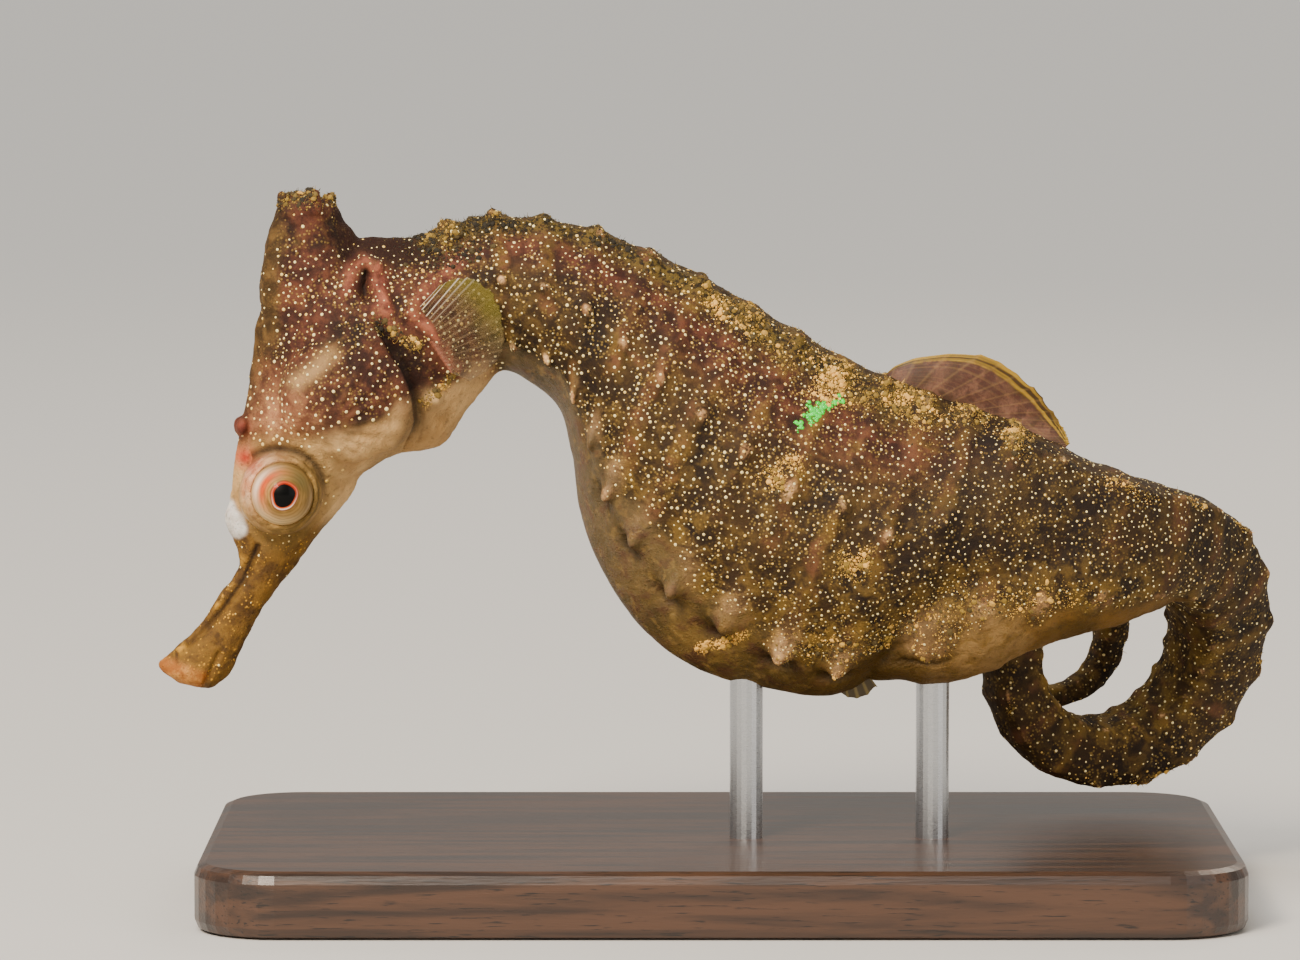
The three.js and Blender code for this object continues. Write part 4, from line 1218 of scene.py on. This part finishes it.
def chip():
    """A closed grain of unit size with eight faces."""
    points = np.array([[1, 0.1, 0], [0.1, 1, 0.1], [-1, 0, 0.1], [0, -1, 0], [0.1, 0, 1], [0, 0, -1]])
    faces = [[0, 1, 4], [1, 2, 4], [2, 3, 4], [3, 0, 4], [1, 0, 5], [2, 1, 5], [3, 2, 5], [0, 3, 5]]
    return points, faces


def blade():
    """A closed hair of unit length, z up, tapering to its tip."""
    bends, sides = 3, 3
    points = []
    for f in np.arange(bends + 1) / bends:
        radius = 1 - 0.75 * f
        points += [[radius * math.cos(a), radius * math.sin(a), f] for a in circle(sides)]
    faces = []
    for i, k in itertools.product(range(bends), range(sides)):
        a, b = i * sides + k, i * sides + (k + 1) % sides
        faces += [[a, b, b + sides], [a, b + sides, a + sides]]
    last = bends * sides
    faces += [[last, last + 1, last + 2], [2, 1, 0]]
    return np.array(points), faces


# Old scars with sediment on them: x, z, radius in mm and which sides of the body.
SCARS = [
    (7.6, 21.0, 0.6, "left"), (8.3, 21.5, 0.45, "left"), (3.3, 26.2, 0.5, "left"), (4.3, 27.2, 0.45, "left"),
    (6.7, 31.6, 0.9, "left"), (10.9, 31.0, 0.7, "both"), (14.9, 30.2, 0.7, "both"),
    (17.6, 28.5, 0.55, "both"), (19.4, 25.2, 0.4, "left"), (-0.4, 16.6, 0.35, "left"),
    (8.4, 24.0, 0.6, "right"), (-3.0, 30.0, 0.5, "right"), (1.9, 16.9, 0.4, "right"),
]
SHELF = [(-1.3, 15.7), (0.4, 16.1), (1.5, 16.7)]  # a streak of sediment low on the flank
PALE_CRUST = [  # x, z and reach in mm
    (-16.6, 40.9, 1.7), (6.7, 31.8, 1.3), (-18.8, 34.4, 1.6), (-16.6, 31.4, 1.4), (0.2, 16.1, 1.6),
    (8.0, 21.3, 0.9), (3.8, 26.7, 1.0),
]


def scar_weight():
    p = skin.verts
    sides = dict(left=p[:, 1] < -1, right=p[:, 1] > 1, both=np.abs(p[:, 1]) > 0.3)
    ragged = 1 + 0.6 * noise(p, 0.5, 75)
    return sum(bell(np.hypot(p[:, 0] - x, p[:, 2] - z), radius * ragged) * sides[where]
               for x, z, radius, where in SCARS)


def crust_weight():
    """Where grains settle: the back's ridges, the crown's rim, the nape, old scars and the lowest flank."""
    m, p, t, side = skin_masks, skin.verts, skin.t, skin.side
    on_body = (t > HEAD_END) & (t < ROOT)
    ridges = (bell(side - 27, 8) + 0.1 * bell(side - 8, 14)) * between(t, 11.6, 12.8, 21.5, 23)
    weight = ridges * (0.05 + smooth(cloud(p, 1.4, 71), -0.05, 0.4))
    weight += 1.2 * smooth(skin.flat[:, 2], 41.8, 42.7) * (t < 13) * smooth(noise(p, 0.8, 72), -0.5, 0.3)
    weight += 1.6 * skin.nape() * smooth(noise(p, 0.7, 73), -0.7, 0.1)
    weight += 0.9 * bell(t - 13.2, 0.28) * bell(side, 34)
    weight += 2.1 * skin.near(GILL_CRUST, 0.26) * smooth(noise(p, 0.5, 74), -0.7, 0.2)
    weight += 1.05 * skin.near(THROAT_CRUST, 0.22)
    weight += 1.4 * scar_weight() * (t > 13) * (t < ROOT)
    weight += 0.2 * bell(side - lower_ridge(t) + 6, 9) * between(t, 20.4, 21.6, ROOT + 1, ROOT + 6)
    weight += 0.3 * bell(side - 45, 12) * smooth(t, ROOT, ROOT + 3) * smooth(cloud(p, 2.0, 77), 0.0, 0.6)
    weight[(m["belly"] > 0.5) | (m["pouch"] > 0.5) | (m["eye_rim"] > 0.3)] = 0
    return weight + 1.2 * bell(line_distance(p[:, [0, 2]], SHELF)[0], 0.22) * (np.abs(p[:, 1]) > 1) * on_body


def crust_tone(at, chance):
    """0 for dark weed-green grains, 1 for pale ones: they lie in patches, and the nape and scars are pale."""
    x, z = at[:, 0], at[:, 2]
    pale = sum(bell(np.hypot(x - pale_x, z - pale_z), reach) for pale_x, pale_z, reach in PALE_CRUST)
    flanks = smooth(31.0 + 0.5 * np.abs(x + 20) - z, 0, 3)
    patches = smooth(cloud(at, 1.1, 81), 0.1, 0.7)
    tone = 0.5 * patches + 0.45 * pale + 0.5 * flanks + 0.35 * smooth(z, 41, 42) + 0.7 * (chance - 0.52)
    return np.clip(tone, 0, 1)


def grain_sizes(small, spread):
    """A rule for the sizes of flattened grains, from five random numbers each."""
    def sizes(r):
        size = small + spread * r[:, 0] ** 2.5
        return np.stack([size * (0.8 + 0.6 * r[:, 1]), size, size * (0.45 + 0.45 * r[:, 2])], axis=1)
    return sizes


def weed_sizes(r):
    """Sizes of thin hairs from five random numbers each."""
    thick = 0.016 + 0.012 * r[:, 1]
    return np.stack([thick, thick, 0.1 + 0.26 * r[:, 0] ** 2], axis=1)


# For each kind of crust: its grain, how many are drawn, their spacing in mm, how far they lean, how strongly
# they keep to the crust's places, their sizes, and the names of the pieces that they are split into.
CRUST = [
    (chip(), 46000, 0.085, 0.5, 1, grain_sizes(0.028, 0.062), ["crust_grains_1", "crust_grains_2"]),
    (lump(), 12000, 0.22, 0.5, 2, grain_sizes(0.07, 0.15), ["crust_clods"]),
    (blade(), 9500, 0.13, 0.9, 1, weed_sizes, ["crust_weed"]),
]


def crust_pieces():
    scatter = Scatter(17)
    weight = crust_weight()
    material = crust_material()
    everywhere = np.ones(len(skin.verts))
    for template, draws, spacing, lean, power, sizes_from, names in CRUST:
        drawn = scatter.spaced(scatter.places(draws, weight**power), spacing * everywhere)
        at, normals, t, degrees = frames_at(drawn)
        r = scatter.random.random((len(at), 5))
        normals = unit(normals + lean * (scatter.random.random((len(at), 3)) * 2 - 1))
        part_of = np.argsort(np.argsort(at[:, 0])) * len(names) // len(at)
        frames, marks = (at, normals, t, degrees), dict(tone=crust_tone(at, r[:, 4]))
        for part, name in enumerate(names):
            coat_piece(
                name, template, part_of == part, frames, sizes_from(r), 6.28 * r[:, 3], marks, material,
                flat_shaded=True,
            )


def crust_material():
    s = Shader("crust", Roughness=0.85)
    s.set("Base Color", s.paint(
        s.mix(s.band("tone", 0.0, 0.3), "#221b0c", "#524320"),
        (s.band("tone", 0.25, 0.6), 1, "#98792c"),
        (s.band("tone", 0.55, 0.95), 1, "#f4bd5c"),
    ))
    return s.material


crust_pieces()


# ---------------------------------------------------------------- eyes

EYE_RINGS, EYE_SPOKES = 56, 112
EYE_BULGE, EYE_BULGE_REACH = 0.045, 0.5  # share of the radius, and reach in radians
# Of these crescents, the pale one at the upper front is a painted highlight of the key light, and the salmon
# one under it is partly the iris's colour and partly painted reflection.
IRIS = dict(  # crescents on the iris: strength, depth and width, direction and spread
    iris_warm=(1, 0.69, 0.12, 2.65, 0.95),
    iris_highlight=(0.9, 0.85, 0.075, 2.75, 0.75),
    iris_grey=(1, 0.7, 0.22, 0.8, 0.9),
    iris_cream=(1, 0.86, 0.2, -1.9, 1.2),
)


def eye_material():
    """Rings about the pupil. iris_depth is 0 on the eye's axis and 1 at its rim."""
    coat = dict(Coat_Weight=0.35, Coat_Roughness=0.05, Coat_IOR=1.22)
    s = Shader("eye", Roughness=0.45, Specular_IOR_Level=0.1, **coat)
    wavy = s.math("ADD", "iris_depth", s.times(s.noise(1.1, 3), 0.2))
    rings = s.math("SINE", s.times(wavy, 64.0))
    s.set("Base Color", s.paint(
        s.mix(s.band("iris_streaks", 0.3, 0.7), "#785826", "#a88146"),
        ("iris_cream", 0.9, "#dfc08a"),
        ("iris_grey", 0.9, "#5d5836"),
        # Salmon iris, with painted reflection of the key light in it.
        ("iris_warm", 1, "iris_streaks", "#c43408", "#e66c34"),
        (s.times(s.band(rings, -0.2, 1.0), s.times("iris_streaks", 0.5)), 1, "#5a451c"),
        # Painted highlight of the key light on the upper front of the iris.
        ("iris_highlight", 1, "iris_streaks", "#f0bd96", "#ffe4cc"),
        ("iris_shade", 0.8, "#33240e"),
        (s.band("iris_depth", 0.47, 0.42), 1, "#7c4526"),
        (s.band("iris_depth", 0.425, 0.4), 1, "iris_gleam", "#c2431a", "#ffe2cc"),
        (s.band("iris_depth", 0.38, 0.355), 1, "iris_gleam", "#8e2408", "#d9541f"),
        (s.band("iris_depth", 0.335, 0.32), 1, "#000000"),
    ))
    return s.material


def eyeball(name, sign, material):
    """A ball with a slight clear bulge over the pupil; its mesh is finest there."""
    first, last = 0.004, np.pi - 0.35
    steps = np.sin(np.linspace(0, np.pi / 2, EYE_RINGS)) ** 1.2 * last
    steps[0] = first
    polar, turn = np.meshgrid(steps, circle(EYE_SPOKES), indexing="ij")
    radius = EYE["radius"] * (1 + EYE_BULGE * bell(polar, EYE_BULGE_REACH))
    across = radius * np.sin(polar)
    rings = np.stack([across * np.cos(turn), sign * radius * np.cos(polar), across * np.sin(turn)], axis=-1)
    oval = 0.09 * np.cos(2 * (turn - 1.15)) + 0.05 * np.cos(3 * (turn - 0.2)) + 0.03 * np.sin(5 * turn)
    depth = np.sin(np.minimum(polar, np.pi / 2)) / (1 + oval * bell(polar, 0.55))
    points, faces = tube(rings)
    points = turned(points + [EYE["x"], sign * EYE["y"], EYE["z"]], HEAD_YAW)
    depth, turn = np.append(depth, [0.0, 1.0]), np.append(turn, [0.0, 0.0])
    rings_about = np.stack([np.cos(turn), np.sin(turn), depth * 14], axis=1)
    lid, brim = bell(depth - 1, 0.12) * arc(turn, 0.9, 1.3), 0.35 * smooth(depth, 0.93, 0.99)
    crescents = {
        key: strength * bell(depth - middle, width) * arc(turn, towards, spread)
        for key, (strength, middle, width, towards, spread) in IRIS.items()
    }
    piece(
        f"eyeball_{name}", (points, faces), material, "eye", [f"eye_{name}"], iris_depth=depth,
        iris_streaks=0.5 + 0.5 * cloud(rings_about, 1.0, 31), iris_shade=np.maximum(lid, brim),
        iris_gleam=arc(turn, -1.5, 1.2), **crescents,
    )


EYE_MATERIAL = eye_material()
for side_name, side_sign in SIDES:
    eyeball(side_name, side_sign, EYE_MATERIAL)


# ---------------------------------------------------------------- fins

def fin(name, replaced, material, base, edge, rays, web, ray, fork, along=8, up=26, sweep=1.0, ripple=0.0):
    """A closed thin sheet from a base curve to an outer edge, thick at its rays.

    base and edge map shares from 0 to 1 to points. The rays lean back by the power sweep, and their tips are
    ragged by fork. web and ray are half thicknesses in mm, and along and up are the numbers of cells for each
    ray and from base to edge.
    """
    u = np.linspace(0, 1, rays * along + 1)
    v = np.linspace(0, 1, up + 1)
    feet, tips = base(u), edge(1 - (1 - u) ** sweep)
    normal = unit(np.cross(tips[-1] - feet[0], tips[0] - feet[-1]))
    on_ray = crests(u * rays) ** 3
    whole = (u * rays).astype(int)
    ragged = hashed(np.stack([whole, 0 * whole, 0 * whole], axis=-1), 9)
    notch = 1 - fork * ((1 - on_ray) * 0.5 + ragged)[:, None] * v**6
    reach = (v * notch)[..., None]
    spread = feet[:, None] * (1 - reach) + tips[:, None] * reach
    wave = ripple * np.sin(np.pi * u * rays)[:, None] * v**1.5
    half = (web + ray * on_ray[:, None] * (1 - 0.75 * v)) * (1 - 0.5 * v)
    front = spread + normal * (wave + half)[..., None]
    back = spread + normal * (wave - half)[..., None]
    shape = tube(np.concatenate([front, back[:, ::-1]], axis=1))
    piece(name, shape, material, "fin", [replaced], **fin_shares(u, v, on_ray))


def fin_shares(u, v, on_ray):
    """The shares along the base and from base to edge, how much of the sheet is ray, and two grains."""
    round_about = np.append(v, v[::-1])
    u_share = np.append(np.repeat(u, len(round_about)), [0, 1])
    v_share = np.append(np.tile(round_about, len(u)), [0.5, 0.5])
    ray_share = np.append(np.repeat(on_ray, len(round_about)), [1, 1])
    streak = 0.5 + 0.5 * cloud(np.stack([u_share * 5, v_share * 60, 0 * u_share], axis=1), 1.0, 95)
    shine = 0.5 + 0.5 * noise(np.stack([u_share * 13, v_share, 0 * u_share], axis=1), 1.0, 96)
    return dict(fin_u=u_share, fin_v=v_share, fin_ray=ray_share, fin_streak=streak, fin_shine=shine)


DORSAL_START, DORSAL_END = 20.75, ROOT + 1.4  # sections of its base
DORSAL_EDGE = [
    (9.7, 31.7), (10.6, 32.5), (12.4, 33.1), (15.2, 33.25), (17.4, 32.4), (19.2, 30.8), (20.6, 28.9),
    (21.0, 27.8),
]
DORSAL_SUNK = 0.45
DORSAL_RAYS = 22


def dorsal_fin():
    """Folded back: the front rays lie almost along the rim."""
    def base(f):
        form = section(DORSAL_START + (DORSAL_END - DORSAL_START) * f)
        return form["at"] + form["up"] * (form["half_depth"] - DORSAL_SUNK)[:, None]

    def edge(f):
        line = follow(DORSAL_EDGE, f)
        return np.stack([line[:, 0], 0.4 * np.sin(f * 9), line[:, 1]], axis=1)

    fin(
        "dorsal_sail", "dorsal_fin", dorsal_material(), base, edge, DORSAL_RAYS, web=0.1, ray=0.015,
        fork=0.03, along=6, up=40, sweep=3.0, ripple=0.015,
    )


def dorsal_material():
    """Mauve and brown below, with yellow-brown streaks that run along the rim."""
    s = Shader("dorsal_fin", Specular_IOR_Level=0.35, Subsurface_Weight=0.1, Subsurface_Scale=0.0008)
    grain = s.noise(0.8, 4, 0.6)
    edge = s.math("ADD", "fin_v", s.times(grain, 0.2))
    s.set("Base Color", s.paint(
        s.mix(s.band(grain, 0.38, 0.64), "#4a2e22", "#7a5540"),
        (s.band(s.noise(1.6, 3), 0.46, 0.62), 0.8, "#33200d"),
        (s.band("fin_streak", 0.55, 0.85), 0.2, "#9c7a44"),
        (s.band(edge, 0.86, 0.97), 1, s.band("fin_streak", 0.35, 0.65), "#3b2c0c", "#a0801f"),
        (s.band("fin_ray", 0.5, 1.0), 0.1, "#c6a05e"),
    ))
    s.roughen(grain, 0.45, 0.7)
    s.bump(grain, 0.06)
    return s.material


PECTORAL_ROOT = [(-18.35, 35.7), (-17.6, 34.7), (-16.8, 33.5), (-16.0, 32.4)]
PECTORAL_EDGE = [
    (-16.6, 37.6), (-15.5, 38.1), (-14.3, 37.9), (-13.3, 37.0), (-12.8, 35.5), (-12.8, 34.0), (-13.5, 32.8),
    (-14.9, 31.9),
]
# It stands out this far at x, and further behind it.
PECTORAL_X, PECTORAL_OUT, PECTORAL_LEAN = -16.9, 4.7, 0.2
PECTORAL_RAYS = 16


def pectoral_fin(name, sign, material):
    """A clear fan that lies close to the neck, its upper rays bunched."""
    def stand_out(line, extra):
        y = PECTORAL_OUT + PECTORAL_LEAN * (line[:, 0] - PECTORAL_X) + extra
        return np.stack([line[:, 0], sign * y, line[:, 1]], axis=1)

    def base(f):
        return stand_out(follow(PECTORAL_ROOT, f), -0.25)

    def edge(f):
        return stand_out(follow(PECTORAL_EDGE, f), 0.12 * np.sin(f * 7))

    fin(
        f"pectoral_fan_{name}", f"pectoral_fin_{name}", material, base, edge, PECTORAL_RAYS, web=0.02,
        ray=0.04, fork=0.03, sweep=0.8, ripple=0.02,
    )


def pectoral_material():
    s = Shader("pectoral_fin", Roughness=0.5, Specular_IOR_Level=0.3)
    bunch = s.times(s.band("fin_u", 0.4, 0.1), s.band("fin_shine", 0.35, 0.65))
    streak = s.times(bunch, s.band("fin_ray", 0.3, 0.9))
    outer = s.math("ADD", "fin_v", s.times(s.noise(0.8, 2), 0.3))
    rim = s.times(s.band(outer, 0.6, 1.1), s.band("fin_u", 0.9, 0.5))
    s.set("Base Color", s.paint(
        s.mix(s.band(s.noise(0.9, 3), 0.4, 0.65), "#4c3c28", "#6c5538"),
        (s.band("fin_ray", 0.4, 1.0), 0.7, "#8b7350"),
        (rim, 0.85, "#6b600f"),
        (streak, 1, "#e6d9c4"),
        (s.band("fin_v", 0.16, 0.02), 1, "#935a44"),
    ))
    rays = s.times(s.times("fin_ray", s.band("fin_u", 0.9, 0.3)), 0.5)
    solid = s.math("MAXIMUM", s.math("MAXIMUM", streak, s.band("fin_v", 0.12, 0.0)), s.times(rim, 0.75))
    s.set("Alpha", s.math("ADD", 0.18, s.times(s.math("MAXIMUM", rays, solid), 0.62)))
    return s.material


ANAL_ROOT = [(7.0, 13.5), (8.9, 13.9)]
ANAL_EDGE = [(7.2, 12.75), (7.9, 12.35), (8.8, 12.4), (9.5, 13.1)]
ANAL_RAYS = 4


def anal_fin():
    def along_middle(points):
        def curve(f):
            line = follow(points, f)
            return np.stack([line[:, 0], 0 * f, line[:, 1]], axis=1)
        return curve

    fin(
        "anal_finlet", "anal_fin", anal_material(), along_middle(ANAL_ROOT), along_middle(ANAL_EDGE),
        ANAL_RAYS, web=0.06, ray=0.06, fork=0.1, up=12,
    )


def anal_material():
    s = Shader("anal_fin", Roughness=0.45)
    s.set("Base Color", s.mix(s.band("fin_ray", 0.2, 0.8), "#4a3a14", "#7d6a34"))
    return s.material


PECTORAL_MATERIAL = pectoral_material()
dorsal_fin()
anal_fin()
for side_name, side_sign in SIDES:
    pectoral_fin(side_name, side_sign, PECTORAL_MATERIAL)


# ---------------------------------------------------------------- the green marker

MARKER_LINE = [(4.75, 29.3), (5.2, 29.75), (5.9, 30.15), (6.5, 30.45), (7.05, 30.7)]
MARKER_GRAINS = 170


def marker():
    """A streak of soft plastic crumbs lying in the skin of the left flank."""
    scatter = Scatter(29)
    distance, along = line_distance(skin.verts[:, [0, 2]], MARKER_LINE)
    width = 0.17 + 0.3 * bell(along - 0.3, 0.3)
    weight = bell(distance, width) * (skin.verts[:, 1] < -1) * smooth(noise(skin.verts, 0.45, 91), -0.45, 0.1)
    weight[distance > width * 1.6] = 0
    at, normals, _, _ = frames_at(scatter.places(MARKER_GRAINS, weight))
    r = scatter.random.random((MARKER_GRAINS, 3))
    size = 0.05 + 0.11 * r[:, 0] ** 2
    sizes = np.stack([size * (1 + 0.5 * r[:, 1]), size, size * 0.6], axis=1)
    crumb = lump()
    shape = copies(crumb, at, normals, sizes, r[:, 2] * 6.28)
    shade = np.repeat(scatter.random.random(MARKER_GRAINS), len(crumb[0]))
    piece("marker_green", shape, marker_material(), "tag", ["tag_marker"], shade=shade)


def marker_material():
    # The emission is a painted glow: the crumbs give off green light of their own.
    s = Shader("marker", Roughness=0.3, Coat_Weight=0.5, Emission_Color="#00d020", Emission_Strength=0.5)
    s.set("Base Color", s.mix("shade", "#049a1c", "#3fd83a"))
    return s.material


marker()


# ---------------------------------------------------------------- stand

def wood_material():
    s = Shader("stand_wood", Coat_Weight=0.35, Coat_Roughness=0.18)
    along_x = s.stretched(0.07, 1.0, 1.0)
    grain, pores = s.noise(1 / 0.9, 6, 0.5, 0.6, along_x), s.noise(1 / 7, 3, 0.5, 0, along_x)
    s.set("Base Color", s.paint(
        s.mix(s.band(grain, 0.35, 0.65), "#2a1a10", "#4d3220"),
        (s.band(pores, 0.58, 0.68), 1, "#1a0f08"),
    ))
    s.roughen(grain, 0.32, 0.48)
    s.bump(pores, 0.03)
    return s.material


def steel_material():
    s = Shader("stand_steel", Metallic=1.0)
    brushed = s.noise(0.4, 4, 0.5, 0, s.stretched(1.0, 1.0, 14.0))
    s.set("Base Color", s.mix(brushed, "#a9acb0", "#cfd2d6"))
    s.roughen(brushed, 0.2, 0.38)
    return s.material


WOOD, STEEL = wood_material(), steel_material()
for node_name, finish in (("stand_base", WOOD), ("stand_rod_front", STEEL), ("stand_rod_rear", STEEL)):
    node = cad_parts[node_name]
    node.data.materials.clear()
    node.data.materials.append(finish)


# ---------------------------------------------------------------- floor, light and camera

FLOOR_REACH = 14.0  # metres from the middle to each side


def floor():
    corners = [(x * FLOOR_REACH, y * FLOOR_REACH, 0) for x, y in ((-1, -1), (1, -1), (1, 1), (-1, 1))]
    made = object_from("floor", corners, [[0, 1, 2, 3]], scale=1)
    made.data.materials.append(Shader("floor", Base_Color="#d9d6d0", Roughness=0.9).material)


def face_along(thing, direction):
    thing.rotation_mode = "QUATERNION"
    thing.rotation_quaternion = direction.to_track_quat("-Z", "Y")


LIGHT_AIM = Vector((0, 0, 0.025))
AREA_LIGHTS = dict(  # place in metres, size in metres, power in watts and tint
    key=((-0.2, -0.38, 0.32), 0.14, 3.2, "#ffefda"),
    fill=((0.36, -0.3, 0.14), 0.3, 0.5, "#fff8f0"),
    rim=((0.2, 0.36, 0.3), 0.2, 0.45, "#ffeeda"),
)
OVERHEAD = dict(strength=2.0, softness=0.8, tilt=(math.radians(22), math.radians(-18), 0))
SKY_TINT, SKY_STRENGTH = "#ece7df", 0.5


def lights():
    for name, (place, size, power, tint) in AREA_LIGHTS.items():
        lamp = placed(name, bpy.data.lights.new(name, "AREA"))
        lamp.data.size, lamp.data.energy, lamp.data.color = size, power, colour(tint)[:3]
        lamp.location = place
        face_along(lamp, LIGHT_AIM - lamp.location)
    overhead = placed("overhead", bpy.data.lights.new("overhead", "SUN"))
    overhead.data.energy, overhead.data.angle = OVERHEAD["strength"], OVERHEAD["softness"]
    overhead.rotation_euler = OVERHEAD["tilt"]
    world = bpy.data.worlds.new("world")
    world.use_nodes = True
    sky = world.node_tree.nodes["Background"].inputs
    sky["Color"].default_value = colour(SKY_TINT)
    sky["Strength"].default_value = SKY_STRENGTH
    bpy.context.scene.world = world


PHOTO_WIDTH = 0.078  # metres across the picture at the animal's middle plane
PHOTO_CENTRE = Vector((-0.0042, 0.0, 0.0256))
CAMERA_DISTANCE = 0.40
CAMERA_RISE = math.radians(5)
CAMERA_SENSOR = 36


def camera():
    made = placed("camera", bpy.data.cameras.new("camera"))
    made.data.sensor_width = CAMERA_SENSOR
    made.data.lens = CAMERA_SENSOR * CAMERA_DISTANCE / PHOTO_WIDTH
    made.data.clip_start, made.data.clip_end = 0.01, 20
    back = Vector((0, -math.cos(CAMERA_RISE), math.sin(CAMERA_RISE)))
    made.location = PHOTO_CENTRE + back * CAMERA_DISTANCE
    face_along(made, -back)
    bpy.context.scene.camera = made


floor()
lights()
camera()
